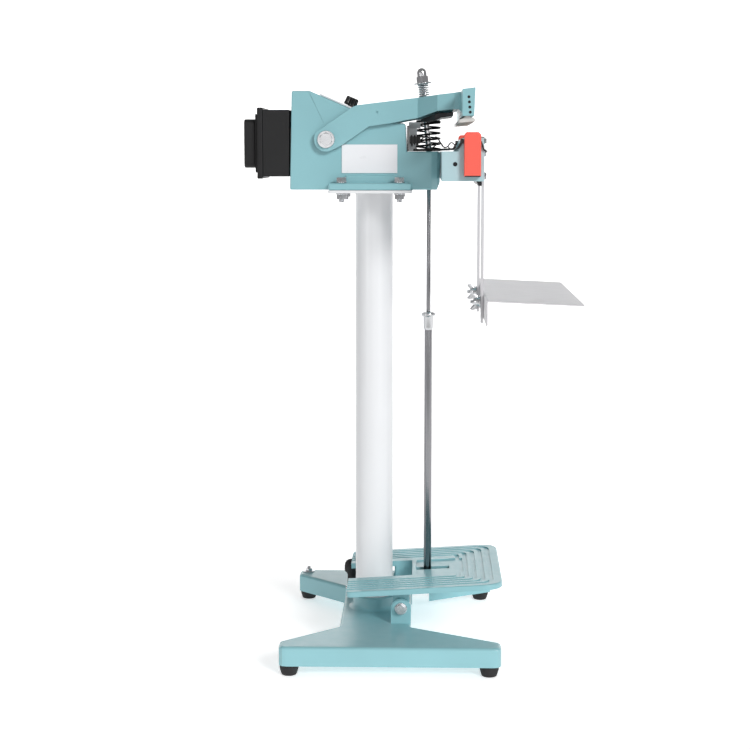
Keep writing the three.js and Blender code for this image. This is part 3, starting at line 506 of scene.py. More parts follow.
def weigh_edges(data):
    """Bevel weights: small holes much less than the rest."""
    data.edges.index_update()
    layer = data.edges.layers.float.new("bevel_weight_edge")
    for group, extent in connected(sharp_edges(data)):
        for edge in group:
            edge[layer] = SMALL_HOLE_WEIGHT if extent < SMALL_HOLE else 1


def round_rim(data, radius, is_rim):
    """Round the long edges picked out by is_rim, before the finer ones."""
    data.normal_update()
    data.edges.index_update()
    picked = [e for e in sharp_edges(data) if is_rim(e)]
    rim = [e for group, extent in connected(picked) if extent > LONG_RIM for e in group]
    bmesh.ops.bevel(data, geom=rim, offset=radius, offset_type="OFFSET", segments=RIM_SEGMENTS, profile=0.5,
                    affect="EDGES", clamp_overlap=False, loop_slide=True)
    data.normal_update()


def refined(node, material, width, segments, rim=None):
    """The CAD shape with clean faces and rounded edges; rim is a larger rounding's radius and edges."""
    data = bmesh.new()
    data.from_mesh(frame["nodes"][node].data)
    bmesh.ops.remove_doubles(data, verts=data.verts, dist=WELD)
    bmesh.ops.dissolve_limit(data, angle_limit=FLAT, verts=data.verts, edges=data.edges)
    if rim:
        radius, is_rim = rim
        round_rim(data, radius * MM, is_rim)
    weigh_edges(data)
    piece = new_object(node + "_finished", data, 180)
    bevel = piece.modifiers.new("edges", "BEVEL")
    bevel.width = width
    bevel.segments = segments
    bevel.limit_method = "WEIGHT"
    bevel.miter_outer = "MITER_ARC"
    shading = piece.modifiers.new("shading", "WEIGHTED_NORMAL")
    shading.mode = "FACE_AREA"
    shading.weight = 90
    apply_modifiers(piece)
    finish_piece(piece, node, material)


def apply_modifiers(piece):
    graph = bpy.context.evaluated_depsgraph_get()
    graph.update()
    mesh = bpy.data.meshes.new_from_object(piece.evaluated_get(graph), preserve_all_data_layers=True,
                                           depsgraph=graph)
    piece.modifiers.clear()
    piece.data = mesh


M = make_materials()
make_camera()
make_studio()


# ---- castings, plates and mouldings: CAD shapes with rounded edges --------------------------------------
TALL_WALL = 6 * MM
PEDAL_BAND = 12 * MM        # the pedal's outline lies in a band this wide inside its box
PLATE_PROUD = 0.4 * MM      # the name plate stands out of the body's wall by less than this


def outer_rim(edge):
    """Convex edge between a level top and a tall outer wall."""
    if not edge.is_convex:
        return False
    top, wall = sorted(edge.link_faces, key=lambda face: -face.normal.z)
    heights = [v.co.z for v in wall.verts]
    return top.normal.z > 0.9 and abs(wall.normal.z) < 0.2 and max(heights) - min(heights) > TALL_WALL


def pedal_rim(edge):
    """The pedal's outline, without the rims of its slot and recess."""
    low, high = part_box("pedal")
    place = (edge.verts[0].co + edge.verts[1].co) / 2
    inset = min(high.x - place.x, place.y - low.y, high.y - place.y)
    return inset < PEDAL_BAND and outer_rim(edge)


def wall_rim(edge):
    """Convex edge at the outside of one of the body's side walls."""
    side = abs(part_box("name_plate")[1].y)
    return edge.is_convex and min(abs(v.co.y) for v in edge.verts) > side - PLATE_PROUD


# Node, material, width (mm) and segments of its rounded edges, and radius (mm) and edges of a larger one.
REFINED = [
    ("base_casting", "teal", 1.2, 3, (4.5, outer_rim)),
    ("body_casting", "teal", 1.0, 3, (2.2, wall_rim)),
    ("pedal", "teal", 0.35, 2, (2.2, pedal_rim)),
    ("arm", "teal", 1.0, 3), ("lower_jaw", "pale_teal", 0.7, 2), ("column_top_plate", "white", 0.6, 2),
    ("name_plate", "plate", 0.3, 2), ("control_panel", "plate", 0.6, 2), ("switch_bracket", "white", 0.3, 2),
    ("transformer_cover", "black", 1.6, 4), ("cover_flange", "black", 0.8, 3), ("rear_cap", "black", 2.4, 4),
    ("end_block_left", "red", 1.3, 4), ("end_block_right", "red", 1.3, 4), ("shelf", "shelf", 0.6, 3),
    ("shelf_strip_left", "shelf", 0.5, 2), ("shelf_strip_right", "shelf", 0.5, 2),
    ("silicone_pad", "silicone", 0.3, 2), ("ptfe_clamp_bar", "aluminium", 0.4, 2),
    ("rod_clevis", "zinc", 0.6, 2), ("microswitch", "black_gloss", 0.4, 2), ("rod_pin", "zinc", 0.4, 2),
    ("transformer_core", "core", 0.5, 2), ("transformer_coil", "coil", 3.0, 3),
    ("timer_board", "board", 0.3, 2), ("cable_gland", "black", 0.5, 2),
    # The black spring_plate under the arm stands for painted shade on the arm's underside.
    ("heating_element", "nichrome", 0.1, 2), ("spring_plate", "black_steel", 0.8, 2),
    ("strip_brace", "black_steel", 0.6, 2),
]
for node, key, width, segments, *rim in REFINED:
    refined(node, M[key], width * MM, segments, *rim)


# ---- turned parts ---------------------------------------------------------------------------------------
COLUMN_WALL = 2 * MM
COLUMN_SIDES = 128
TIP = 0.01 * MM             # radius where a turned profile meets its axis


def column():
    low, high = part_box("column")
    radius = (high.x - low.x) / 2
    bore, edge = radius - COLUMN_WALL, 0.4 * MM
    outline = [(radius - edge, low.z), (radius, low.z + edge), (radius, high.z - edge),
               (radius - edge, high.z), (bore, high.z), (bore, low.z)]
    turns = [TAU * i / COLUMN_SIDES for i in range(COLUMN_SIDES)]
    rings = [[spot(AXES["z"], (COLUMN_X, 0, 0), r, a, h) for a in turns] for r, h in outline]
    data = bmesh.new()
    add_rings(data, [*rings, rings[0]], caps=False)
    bmesh.ops.remove_doubles(data, verts=data.verts, dist=1e-7)
    finish_piece(new_object("column_tube", data), "column", M["white"])


def foot(node):
    """Rubber foot: hollow underneath, a rolled lower edge and a taper to the full radius."""
    low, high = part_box(node)
    place = middle(node)
    top, radius = high.z, (high.x - low.x) / 2
    profile = [(TIP, 1.0 * MM), (0.3 * radius, 1.0 * MM), (0.36 * radius, 0), (0.68 * radius, 0),
               (0.76 * radius, 0.5 * MM), (0.83 * radius, 2 * MM), (0.98 * radius, 8.5 * MM),
               (radius, 10 * MM), (radius, top - 0.8 * MM), (radius - 0.8 * MM, top), (TIP, top)]
    data = bmesh.new()
    add_lathe(data, profile, (place.x, place.y, 0))
    finish_piece(new_object(node + "_moulded", data), node, M["rubber"])


BASE_TOP = 27 * MM          # top of the casting's plate, over its underside
CLEAR = 0.3 * MM            # from a turned part to the face that it sits on
M6_THREAD = {"radius": 3 * MM, "pitch": 1.0 * MM, "sides": 20}


def base_stud():
    low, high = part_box("base_stud")
    place = middle("base_stud")
    centre = (place.x, place.y, 0)
    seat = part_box("base_casting")[0].z + BASE_TOP + CLEAR
    nut = seat + 1.7 * MM
    data = bmesh.new()
    add_lathe(data, [(9 * MM, seat), (9 * MM, seat + 1.4 * MM), (8.6 * MM, nut)], centre, segments=48)
    add_hex(data, 10 * MM, nut, nut + 3.8 * MM, centre)
    add_thread(data, low=low.z, high=high.z - 0.5 * MM, centre=centre, **M6_THREAD)
    finish_piece(new_object("base_stud_and_nut", data, 24), "base_stud", M["zinc"])


HEAD_HEIGHT = 6 * MM
HEAD_WASHER = 1.7 * MM
HEAD_NUT_BOTTOM = 640 * MM


def head_bolt(node):
    """Bolt, two washers and nut that clamp the body's flange to the plate on the column."""
    low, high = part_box(node)
    place = middle(node)
    centre = (place.x, place.y, 0)
    flange_top = high.z - HEAD_HEIGHT - HEAD_WASHER
    plate_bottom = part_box("column_top_plate")[0].z - CLEAR
    nut_top = plate_bottom - HEAD_WASHER
    data = bmesh.new()
    add_washer(data, 8 * MM, flange_top, flange_top + HEAD_WASHER, centre)
    add_hex(data, 13 * MM, flange_top + HEAD_WASHER, high.z, centre)
    add_washer(data, 8 * MM, nut_top, plate_bottom, centre)
    add_hex(data, 13 * MM, HEAD_NUT_BOTTOM, nut_top, centre, chamfer_low=True)
    add_thread(data, 4 * MM, low.z, HEAD_NUT_BOTTOM + 2 * MM, centre)
    add_lathe(data, [(4 * MM, plate_bottom - 1 * MM), (4 * MM, flange_top + 1 * MM)], centre, segments=32)
    finish_piece(new_object(node + "_set", data, 24), node, M["zinc"])


def side_bolt(node, shank, washer, flats, spans):
    """Bolt along Y, made of spans (low, high, kind): its head, nut, washers and shank."""
    place = middle(node)
    centre = (place.x, 0, place.z)
    data = bmesh.new()
    for low, high, kind in spans:
        if kind == "washer":
            add_washer(data, washer, low, high, centre, AXES["y"], 0.35 * MM)
        elif kind == "shank":
            add_lathe(data, [(shank, low), (shank, high)], centre, AXES["y"], 40)
        else:
            add_hex(data, flats, low, high, centre, AXES["y"], kind == "head_low", kind != "head_low")
    finish_piece(new_object(node + "_set", data, 24), node, M["zinc"])


ARM_OUTSIDE = 66.3 * MM
PIVOT_WASHER = 2.4 * MM
# Spans of a pedal bolt, in mm from the middle plane.
PEDAL_BOLT_SPANS = ((99.8, 101.3, "washer"), (101.3, 107.0, "head"), (77.2, 100.0, "shank"),
                    (76.5, 83.9, "nut"))


def pivot_bolts():
    low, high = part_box("arm_pivot_bolt")
    seat, face = ARM_OUTSIDE, ARM_OUTSIDE + PIVOT_WASHER
    side_bolt("arm_pivot_bolt", 5.8 * MM, 12 * MM, 16.5 * MM, [
        (low.y, -face, "head_low"), (-face, -seat, "washer"), (-seat, seat, "shank"),
        (seat, face, "washer"), (face, high.y - 3 * MM, "head"), (high.y - 4 * MM, high.y, "shank")])
    for side, sign in SIDES:
        spans = [(a * MM, b * MM, kind) for a, b, kind in PEDAL_BOLT_SPANS]
        if sign < 0:
            spans = [(-b, -a, "head_low" if kind == "head" else kind) for a, b, kind in spans]
        side_bolt("pedal_bolt_" + side, 4.8 * MM, 8.7 * MM, 13 * MM, spans)


ROD_CENTRE = Vector((middle("pull_rod").x, 0, 0))


def pull_rod():
    low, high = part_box("pull_rod")
    data = bmesh.new()
    add_lathe(data, [(2.6 * MM, low.z), (3 * MM, low.z + 0.5 * MM), (3 * MM, high.z - 0.5 * MM),
                     (2.6 * MM, high.z)], ROD_CENTRE, segments=48)
    finish_piece(new_object("pull_rod_bar", data), "pull_rod", M["rod"])


def rod_ferrule():
    """Turned ferrule with a collar near its top; the profile is in mm over its foot."""
    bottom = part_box("rod_ferrule")[0].z
    profile = [(6.0, 0), (6.3, 0.6), (7.3, 4.0), (7.3, 18.6), (7.8, 19.4), (10.2, 20.2), (10.6, 20.8),
               (10.6, 23.6), (10.2, 24.2), (8.2, 24.8), (7.6, 25.5), (3.4, 25.5)]
    data = bmesh.new()
    add_lathe(data, [(r * MM, bottom + h * MM) for r, h in profile], ROD_CENTRE)
    finish_piece(new_object("rod_ferrule_turned", data), "rod_ferrule", M["zinc"])


EYE_HEIGHT = 18 * MM        # from the eye's foot to the tube's shoulder
EYE_HALF = 2.5 * MM
TUBE_RADIUS = 5.5 * MM


def rod_tube():
    """Tube of the pull rod, and the flat eye under it that holds the pedal's pin; outlines in mm."""
    low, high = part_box("rod_tube")
    shoulder = low.z + EYE_HEIGHT
    data = bmesh.new()
    add_lathe(data, [(TUBE_RADIUS - 0.5 * MM, shoulder), (TUBE_RADIUS, shoulder + 0.6 * MM),
                     (TUBE_RADIUS, high.z)], ROD_CENTRE)
    slab = [(-8.6, 0.4), (-6.0, 0), (10.5, 0), (13.4, 2), (13.9, 5), (13.9, 12), (13, 15.5), (9, 17),
            (5, 17.5), (5, 25), (-5, 25), (-5, 17.5), (-8.6, 15)]
    hole_low, hole_high = (-5, 4.6), (7.6, 13.2)
    add_rings(data, [[Vector((ROD_CENTRE.x + x * MM, y, low.z + z * MM)) for x, z in slab]
                     for y in (EYE_HALF, -EYE_HALF)])
    piece = new_object("rod_tube_and_eye", data)
    cut_box(piece, *[(ROD_CENTRE.x + x * MM, y, low.z + z * MM)
                     for (x, z), y in ((hole_low, -2 * EYE_HALF), (hole_high, 2 * EYE_HALF))])
    finish_piece(piece, "rod_tube", M["rod"])


def cut_box(piece, low, high):
    """Cut a box-shaped opening out of a piece."""
    data = bmesh.new()
    bmesh.ops.create_cube(data, size=1)
    for vert in data.verts:
        vert.co = Vector(((low[i] + high[i]) / 2 + vert.co[i] * (high[i] - low[i]) for i in range(3)))
    tool = new_object("cutter", data)
    boolean = piece.modifiers.new("opening", "BOOLEAN")
    boolean.object = tool
    boolean.solver = "EXACT"
    apply_modifiers(piece)
    bpy.data.objects.remove(tool)


# ---- springs, stud and domed nut ------------------------------------------------------------------------
def helix(centre, radius, wire, turns, bottom, top, turn=AXES["z"], steps=28):
    """Compression spring centreline whose end turns close flat."""
    points = []
    for k in range(int(turns * steps) + 1):
        done = k / steps
        climb = min(1, max(0, (done - 0.75) / (turns - 1.5)))
        climb = climb * 0.94 + 0.06 * (3 * climb ** 2 - 2 * climb ** 3)
        height = bottom + wire / 2 + (top - bottom - wire) * climb
        points.append(spot(turn, centre, radius, TAU * done, height))
    return points


def return_spring():
    low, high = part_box("return_spring")
    place = middle("return_spring")
    wire = 2.7 * MM
    data = bmesh.new()
    add_tube(data, helix((place.x, place.y, 0), 16.3 * MM, wire, 7, low.z, high.z), wire / 2, 14)
    piece = new_object("return_spring_coil", data)
    finish_piece(piece, "return_spring", M["black_steel"])
    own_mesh(piece)


# Heights in the spring stack on the arm, over its foot.
WASHER_LOW, WASHER_HIGH = 20.3 * MM, 22 * MM
DOME_RADIUS = 7.2 * MM
DOME_STEPS = 10


def head_frame():
    """Foot and axis of the spring stack on the arm: square to the arm's sloping top."""
    low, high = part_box("spring_washer")
    tilt = math.atan2(high.z - low.z - (WASHER_HIGH - WASHER_LOW), high.x - low.x)
    turn = Matrix.Rotation(-tilt, 3, "Y")
    return middle("spring_washer") - turn @ Vector((0, 0, (WASHER_LOW + WASHER_HIGH) / 2)), turn


HEAD_CENTRE, HEAD_TURN = head_frame()


def pressure_spring():
    data = bmesh.new()
    wire = 1.6 * MM
    path = helix(HEAD_CENTRE, 7.4 * MM, wire, 7.5, 0.2 * MM, WASHER_LOW - 0.1 * MM, HEAD_TURN)
    add_tube(data, path, wire / 2, 12)
    finish_piece(new_object("pressure_spring_coil", data), "pressure_spring", M["chrome"])


def spring_washer():
    bore, radius, edge = 4.8 * MM, 13 * MM, 0.4 * MM
    data = bmesh.new()
    add_lathe(data, [(bore, WASHER_LOW), (radius - edge, WASHER_LOW), (radius, WASHER_LOW + edge),
                     (radius, WASHER_HIGH - edge), (radius - edge, WASHER_HIGH), (bore, WASHER_HIGH)],
              HEAD_CENTRE, HEAD_TURN)
    finish_piece(new_object("spring_washer_disc", data), "spring_washer", M["zinc"])


def dome_nut():
    """Hexagon nut with a round cap."""
    data = bmesh.new()
    add_hex(data, 16.5 * MM, 22.3 * MM, 31.0 * MM, HEAD_CENTRE, HEAD_TURN, chamfer_low=True)
    cap = [(DOME_RADIUS, 30.6 * MM), (DOME_RADIUS, 35.2 * MM)]
    cap += [(DOME_RADIUS * math.cos(a), 35.4 * MM + 7.3 * MM * math.sin(a))
            for a in (math.pi / 2 * i / DOME_STEPS for i in range(1, DOME_STEPS))]
    cap.append((0.1 * MM, 42.7 * MM))
    add_lathe(data, cap, HEAD_CENTRE, HEAD_TURN)
    finish_piece(new_object("dome_nut_capped", data, 24), "dome_nut", M["chrome"])


STUD_RADIUS = 4 * MM
THREAD_START = 91 * MM      # along the stud, from the middle of its eye
EYE_RADIUS, EYE_BORE, EYE_SIDE = 8 * MM, 4.9 * MM, 3 * MM
EYE_SIDES = 48


def arm_stud():
    """Leaning stud with an eye at its foot and a thread at its top."""
    low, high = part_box("arm_stud")
    centre = Vector((high.x - EYE_RADIUS, 0, low.z + EYE_RADIUS))
    axis = Vector((low.x + STUD_RADIUS, 0, high.z - 0.3 * MM)) - centre
    turn = Vector((0, 0, 1)).rotation_difference(axis).to_matrix()
    shank = STUD_RADIUS - 0.1 * MM
    data = bmesh.new()
    add_lathe(data, [(shank, 6 * MM), (shank, THREAD_START + 1 * MM)], centre, turn, 32)
    add_thread(data, STUD_RADIUS, THREAD_START, axis.length, centre, turn)
    outline = [(EYE_RADIUS, -EYE_SIDE), (EYE_RADIUS, EYE_SIDE), (EYE_BORE, EYE_SIDE), (EYE_BORE, -EYE_SIDE)]
    turns = [TAU * i / EYE_SIDES for i in range(EYE_SIDES)]
    rings = [[spot(AXES["y"], centre, r, a, h) for a in turns] for r, h in outline]
    add_rings(data, [*rings, rings[0]], caps=False)
    finish_piece(new_object("arm_stud_and_eye", data), "arm_stud", M["chrome"])


# ---- knob, lamp and dial --------------------------------------------------------------------------------
def panel_frame():
    joint = JOINTS["timer_turn"]
    axis = Vector(joint["axis"]).normalized()
    turn = Vector((0, 0, 1)).rotation_difference(axis).to_matrix()
    return Vector(joint["pos_m"]), turn


PANEL_ORIGIN, PANEL_TURN = panel_frame()


KNOB_SIDES = 144
KNOB_FLUTES = 10
# Radius, height and flute depth from the knob's foot to its top, in mm.
KNOB_LEVELS = ((8.6, 3.6, 0), (9.6, 3.9, 0), (9.7, 5.6, 0), (9.6, 6.4, 0.6), (9.5, 7.4, 1.9),
               (9.3, 14.2, 1.9), (8.9, 15.2, 1.5), (7.4, 15.8, 0.4), (5.8, 16.0, 0), (5.0, 15.7, 0))


def timer_knob():
    """Fluted grip on a round skirt, with a white pointer line."""
    rings = []
    for radius, height, depth in KNOB_LEVELS:
        ring = []
        for i in range(KNOB_SIDES):
            angle = TAU * i / KNOB_SIDES
            groove = depth * (0.5 + 0.5 * math.cos(KNOB_FLUTES * angle))
            ring.append(spot(PANEL_TURN, PANEL_ORIGIN, (radius - groove) * MM, angle, height * MM))
        rings.append(ring)
    data = bmesh.new()
    add_rings(data, rings)
    finish_piece(new_object("timer_knob_fluted", data), "timer_knob", M["black_gloss"])
    data = bmesh.new()
    corners = [(3.6, -0.45), (7.6, -0.45), (7.6, 0.45), (3.6, 0.45)]
    add_rings(data, [[PANEL_ORIGIN + PANEL_TURN @ Vector((x * MM, y * MM, h * MM)) for x, y in corners]
                     for h in (15.4, 16.12)])
    extra_piece(new_object("timer_knob_pointer", data), "timer_knob", M["plate"])


LENS_RADIUS = 3.3 * MM
LENS_STEPS = 8


def pilot_lamp():
    """Domed red lens in a thin bezel."""
    foot_point = middle("pilot_lamp") - PANEL_TURN @ Vector((0, 0, 0.1 * MM))
    data = bmesh.new()
    bezel = [(3.1, -5.5), (3.1, -0.2), (4.4, -0.2), (4.5, 0.6), (4.2, 1.0), (3.4, 1.2)]
    add_lathe(data, [(r * MM, h * MM) for r, h in bezel], foot_point, PANEL_TURN, 40)
    dome = [(LENS_RADIUS, 1.1 * MM), (LENS_RADIUS, 3.0 * MM)]
    dome += [(LENS_RADIUS * math.cos(a), 3.0 * MM + 2.7 * MM * math.sin(a))
             for a in (math.pi / 2 * i / LENS_STEPS for i in range(1, LENS_STEPS))]
    add_lathe(data, [*dome, (0.1 * MM, 5.7 * MM)], foot_point, PANEL_TURN, 40)
    finish_piece(new_object("pilot_lamp_lens", data), "pilot_lamp", M["lens"])


TICKS = 11
TICK_FROM, TICK_TO, TICK_HALF = 11 * MM, 13.2 * MM, 0.3 * MM


def dial_ticks():
    """Plain scale round the knob: raised ticks over the knob's 270 degrees, and no lettering."""
    data = bmesh.new()
    for k in range(TICKS):
        angle = math.radians(-135 + 270 / (TICKS - 1) * k)
        out = Vector((math.cos(angle), math.sin(angle), 0))
        side = Vector((-out.y, out.x, 0)) * TICK_HALF
        start, stop = out * TICK_FROM, out * TICK_TO
        corners = [start - side, stop - side, stop + side, start + side]
        add_rings(data, [[PANEL_ORIGIN + PANEL_TURN @ (c + Vector((0, 0, h * MM))) for c in corners]
                         for h in (2.7, 2.92)])
    extra_piece(new_object("dial_ticks", data), "control_panel", M["ink"])


# ---- shelf fixings --------------------------------------------------------------------------------------
WING_LEVELS = 8
WING_SIDES = 16


def wing_nut(side):
    """Washer, round boss and two wings that lean away from the shelf."""
    node = "wing_nut_" + side
    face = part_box(node)[1].x
    place = middle(node)
    centre = (0, place.y, place.z)
    data = bmesh.new()
    add_washer(data, 8.5 * MM, face - 1.6 * MM, face, centre, AXES["x"], 0.3 * MM)
    add_lathe(data, [(4.4 * MM, face - 10 * MM), (5 * MM, face - 9.4 * MM), (6.4 * MM, face - 1.6 * MM)],
              centre, AXES["x"])
    for way in (-1, 1):
        rings = []
        for k in range(WING_LEVELS + 1):
            t = k / WING_LEVELS
            height = (3.2 + 8.0 * t) * MM
            lean = face - 4.6 * MM - 7.5 * MM * t ** 1.4
            half = (3.2 + 1.1 * math.sin(math.pi * min(1, t * 1.1))) * (1 if t < 1 else 0.55) * MM
            thick = (1.5 - 0.5 * t) * MM
            points = []
            for i in range(WING_SIDES):
                along, across = math.cos(TAU * i / WING_SIDES), math.sin(TAU * i / WING_SIDES)
                points.append(Vector((lean + half * along, place.y + thick * across,
                                      place.z + way * (height + half * 0.3 * along))))
            rings.append(points if way > 0 else points[::-1])
        add_rings(data, rings)
    finish_piece(new_object(node + "_forged", data), node, M["zinc"])


COACH_HEAD = 4 * MM


def shelf_bolt(side):
    """Threaded shank and domed head."""
    node = "shelf_bolt_" + side
    low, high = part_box(node)
    place = middle(node)
    centre = (0, place.y, place.z)
    seat = high.x - COACH_HEAD
    data = bmesh.new()
    add_thread(data, low=low.x, high=seat, centre=centre, turn=AXES["x"], **M6_THREAD)
    dome = [(6.9 * MM, seat), (7 * MM, seat + 0.4 * MM), (6.4 * MM, seat + 1.6 * MM),
            (5 * MM, seat + 2.7 * MM), (3 * MM, seat + 3.6 * MM), (0.5 * MM, high.x)]
    add_lathe(data, dome, centre, AXES["x"], 48)
    finish_piece(new_object(node + "_coach", data), node, M["zinc"])


# ---- wires ----------------------------------------------------------------------------------------------
# Routes are given in mm: in front of the column's axis, across from the middle plane, and up.
LEAD_ROUTE = ((56, 43, 708.2), (84, 47, 708.2), (99, 62, 708.6), (108, 120, 709), (113, 180, 709.6),
              (116, 201, 711), (120.5, 207, 718))
SLEEVE_OUTLINE = ((-2.2, -3.1), (2.2, -3.1), (2.2, 2.4), (1.4, 3.1), (-1.4, 3.1), (-2.2, 2.4))
SLEEVE_X, SLEEVE_Z = 120.9, 719.3
SLEEVE_ENDS = (205.2, 209.3)
# Name, radius and route of the thin wires by the switch and at the red blocks.
FINE_WIRES = (
    ("switch_wire_upper", 0.9, ((66, -30, 722), (74, -38, 727), (82, -44, 722), (88, -46, 726),
                                (94, -48, 718), (98, -54, 712.5), (100, -78, 711.4))),
    ("switch_wire_lower", 0.9, ((60, -33, 712.6), (70, -42, 711), (80, -50, 710), (88, -54, 715),
                                (93, -56, 719), (97, -60, 713), (100, -92, 711.4))),
    ("element_tail", 0.8, ((97, -204, 710.6), (101.4, -205, 712), (106.8, -205.6, 717.4),
                           (112, -205.4, 712.2), (107, -205, 708.4), (102, -204.6, 712.4))),
    ("end_wire", 1.1, ((145.4, -205.2, 719), (147.4, -205.2, 714), (149.2, -205, 709),
                       (151.5, -203, 706.4), (153.4, -198, 706))))


def from_column(x, y, z):
    """Point given in mm from the column's axis."""
    return Vector((COLUMN_X + x * MM, y * MM, z * MM))


def lead(side, sign):
    """Insulated element lead from the body to the red block, with its crimp sleeve."""
    node = "element_lead_" + side
    data = bmesh.new()
    add_tube(data, smooth_path([from_column(x, sign * y, z) for x, y, z in LEAD_ROUTE], 12), 1.5 * MM, 14)
    add_rings(data, [[from_column(SLEEVE_X + x, y, SLEEVE_Z + z) for x, z in SLEEVE_OUTLINE]
                     for y in sorted((sign * end for end in SLEEVE_ENDS), reverse=True)])
    finish_piece(new_object(node + "_wire", data), node, M["cable"])


def fine_wires():
    for name, radius, route in FINE_WIRES:
        data = bmesh.new()
        add_tube(data, smooth_path([from_column(*point) for point in route], 10), radius * MM, 10)
        extra_piece(new_object(name, data), "element_lead_left", M["cable"])


def smooth_path(knots, steps):
    """Catmull-Rom curve through the knots."""
    points = []
    padded = [2 * knots[0] - knots[1], *knots, 2 * knots[-1] - knots[-2]]
    for a, b, c, d in zip(padded, padded[1:], padded[2:], padded[3:]):
        for k in range(steps):
            t = k / steps
            points.append(0.5 * (2 * b + (c - a) * t + (2 * a - 5 * b + 4 * c - d) * t ** 2
                                 + (3 * b - a - 3 * c + d) * t ** 3))
    points.append(knots[-1])
    return points


# ---- details too small for the CAD, and painted shade in holes and gaps ---------------------------------
def hole_shade_discs(side, sign):
    """Dark discs inside the hole at the jaw's end and the four holes at the arm's end: painted shade inside the
    holes.
    """
    data = bmesh.new()
    ends = sorted((sign * 198.2 * MM, sign * 200.6 * MM))
    add_lathe(data, [(2.9 * MM, y) for y in ends], from_column(112, 0, 689.3), AXES["y"], 32)
    extra_piece(new_object("jaw_hole_shade_disc_" + side, data), "lower_jaw", M["rubber"])

    data = bmesh.new()
    ends = sorted((sign * 202 * MM, sign * 204.9 * MM))
    for k in range(4):
        place = from_column(129.3 + 0.6 * k, 0, 776.5 - 6.6 * k)
        add_lathe(data, [(1.95 * MM, y) for y in ends], place, AXES["y"], 24)
    extra_piece(new_object("arm_hole_plugs_" + side, data), "arm", M["rubber"])


def block_foot_shadow(side):
    """Black edge under the red block: painted shadow at the block's foot."""
    low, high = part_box("end_block_" + side)
    data = bmesh.new()
    add_block(data, (low.x + 0.8 * MM, low.y - 0.1 * MM, low.z - 0.1 * MM),
              (high.x - 0.8 * MM, high.y + 0.1 * MM, low.z + 1.4 * MM))
    extra_piece(new_object("block_foot_shadow_" + side, data), "end_block_" + side, M["rubber"])


def strip_screws(side):
    """Two hexagon heads that hold a shelf strip to the jaw."""
    node = "shelf_strip_" + side
    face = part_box(node)[1].x
    data = bmesh.new()
    for height in (672.5 * MM, 704 * MM):
        add_hex(data, 9.6 * MM, face - 2.4 * MM, face + 0.2 * MM, (0, middle(node).y, height), AXES["x"])
    extra_piece(new_object("strip_screws_" + side, data, 24), node, M["zinc"])


def switch_bracket_shadow():
    """Dark strip between the body and the switch bracket: painted shadow along the bracket's edge."""
    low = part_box("switch_bracket")[0]
    data = bmesh.new()
    add_block(data, (COLUMN_X + 47.2 * MM, low.y, low.z), (low.x - 0.2 * MM, -19 * MM, 742 * MM))
    extra_piece(new_object("switch_bracket_shadow", data), "switch_bracket", M["black"])


def switch_terminals():
    """Three blades on the side of the switch."""
    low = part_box("microswitch")[0]
    data = bmesh.new()
    for k in range(3):
        start = low.x + (1.5 + 4.6 * k) * MM
        add_block(data, (start, low.y - 1.6 * MM, 715 * MM), (start + 1.6 * MM, low.y - 0.2 * MM, 729 * MM))
    extra_piece(new_object("switch_terminals", data), "microswitch", M["black"])


def pedal_rear_screw():
    data = bmesh.new()
    turn = AXES["x"] @ Matrix.Rotation(math.pi, 3, "Y")
    add_lathe(data, [(2.4 * MM, 0), (2.4 * MM, 1.6 * MM), (1.7 * MM, 2.2 * MM)],
              (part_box("pedal")[0].x - 0.2 * MM, -76 * MM, 88.5 * MM), turn, 32)
    extra_piece(new_object("pedal_rear_screw", data), "pedal", M["zinc"])


PEDAL_SLOPE = math.tan(math.radians(3.5))
NOTCH_TOP = 28 * MM         # over the pedal's hinge, at the hinge
NOTCH_DEPTH = 16 * MM
NOTCH_REAR, NOTCH_FRONT = COLUMN_X + 31 * MM, COLUMN_X + 59.6 * MM
NOTCH_HALF = 46.2 * MM
NOTCH_WALL = 3.4 * MM


def notch_walls():
    """Walls that hang from the edges of the opening in the pedal, beside the column and in front of it."""
    hinge = middle("pedal_bolt_left")
    data = bmesh.new()

    def wall(x0, x1, y0, y1):
        tops = [hinge.z + NOTCH_TOP + (x - hinge.x) * PEDAL_SLOPE for x in (x0, x1)]
        add_rings(data, [[Vector((x0, y, tops[0])), Vector((x1, y, tops[1])),
                          Vector((x1, y, tops[1] - NOTCH_DEPTH)), Vector((x0, y, tops[0] - NOTCH_DEPTH))]
                         for y in (y1, y0)])

    for _, sign in SIDES:
        wall(NOTCH_REAR, NOTCH_FRONT, *sorted((sign * NOTCH_HALF, sign * (NOTCH_HALF + NOTCH_WALL))))
    cross_half = NOTCH_HALF - 0.1 * MM
    wall(NOTCH_FRONT - NOTCH_WALL, NOTCH_FRONT, -cross_half, cross_half)
    extra_piece(new_object("pedal_notch_walls", data, 30), "pedal", M["teal"])


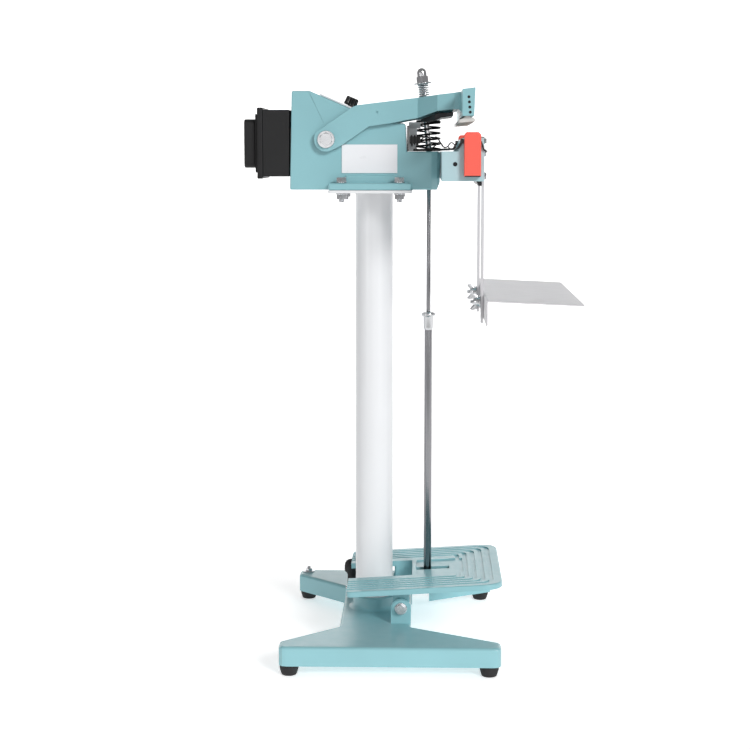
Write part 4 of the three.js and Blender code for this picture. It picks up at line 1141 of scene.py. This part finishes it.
# ---- bumper and cloth -----------------------------------------------------------------------------------
def pedal_bumper():
    """Rubber stop under the pedal: radius in mm, and height as a share of the whole."""
    low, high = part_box("pedal_bumper")
    place = middle("pedal_bumper")
    height = high.z - low.z
    profile = [(6.2, 0), (6.5, 0.02), (6.3, 0.42), (7.4, 0.5), (10.4, 0.56), (11.0, 0.64), (11.0, 0.76),
               (10.0, 0.87), (7.8, 0.95), (4.6, 0.99), (0.2, 1.0)]
    data = bmesh.new()
    add_lathe(data, [(r * MM, low.z + h * height) for r, h in profile], (place.x, place.y, 0))
    finish_piece(new_object("pedal_bumper_moulded", data), "pedal_bumper", M["rubber"])


CLOTH_THICK = 0.25 * MM
CLOTH_ROWS = 60
CLOTH_RIPPLE = 0.06 * MM


def ptfe_cover():
    """Glass cloth over the element, turned down over the front edge of the jaw."""
    low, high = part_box("ptfe_cover")
    crest = high.z - 0.45 * MM
    profile = [(low.x, crest - 0.4 * MM), (low.x + 6 * MM, crest), (low.x + 14 * MM, crest),
               (low.x + 21 * MM, crest - 0.3 * MM), (high.x - 1.4 * MM, crest - 0.7 * MM),
               (high.x - 0.5 * MM, crest - 1.6 * MM), (high.x - 0.3 * MM, crest - 3 * MM),
               (high.x - 0.3 * MM, low.z)]
    path = smooth_path([Vector((x, 0, z)) for x, z in profile], 5)
    rows = []
    for k in range(CLOTH_ROWS + 1):
        y = low.y + (high.y - low.y) * k / CLOTH_ROWS
        rows.append([Vector((point.x, y, point.z + CLOTH_RIPPLE * math.sin(k * 0.9 + i * 0.4)))
                     for i, point in enumerate(path)])
    piece = grid_object("ptfe_cover_cloth", rows)
    thicken = piece.modifiers.new("thickness", "SOLIDIFY")
    thicken.thickness = CLOTH_THICK
    thicken.offset = 0
    apply_modifiers(piece)
    finish_piece(piece, "ptfe_cover", M["ptfe"])


column()
for end in ("rear", "front"):
    for side, _ in SIDES:
        foot(f"foot_{end}_{side}")
        head_bolt(f"head_bolt_{end}_{side}")
base_stud()
pivot_bolts()
pull_rod()
rod_ferrule()
rod_tube()
return_spring()
pressure_spring()
spring_washer()
dome_nut()
arm_stud()
timer_knob()
pilot_lamp()
dial_ticks()
for side, sign in SIDES:
    wing_nut(side)
    shelf_bolt(side)
    lead(side, sign)
pedal_bumper()
notch_walls()
for side, sign in SIDES:
    hole_shade_discs(side, sign)
    block_foot_shadow(side)
    strip_screws(side)
switch_bracket_shadow()
switch_terminals()
fine_wires()
pedal_rear_screw()
ptfe_cover()
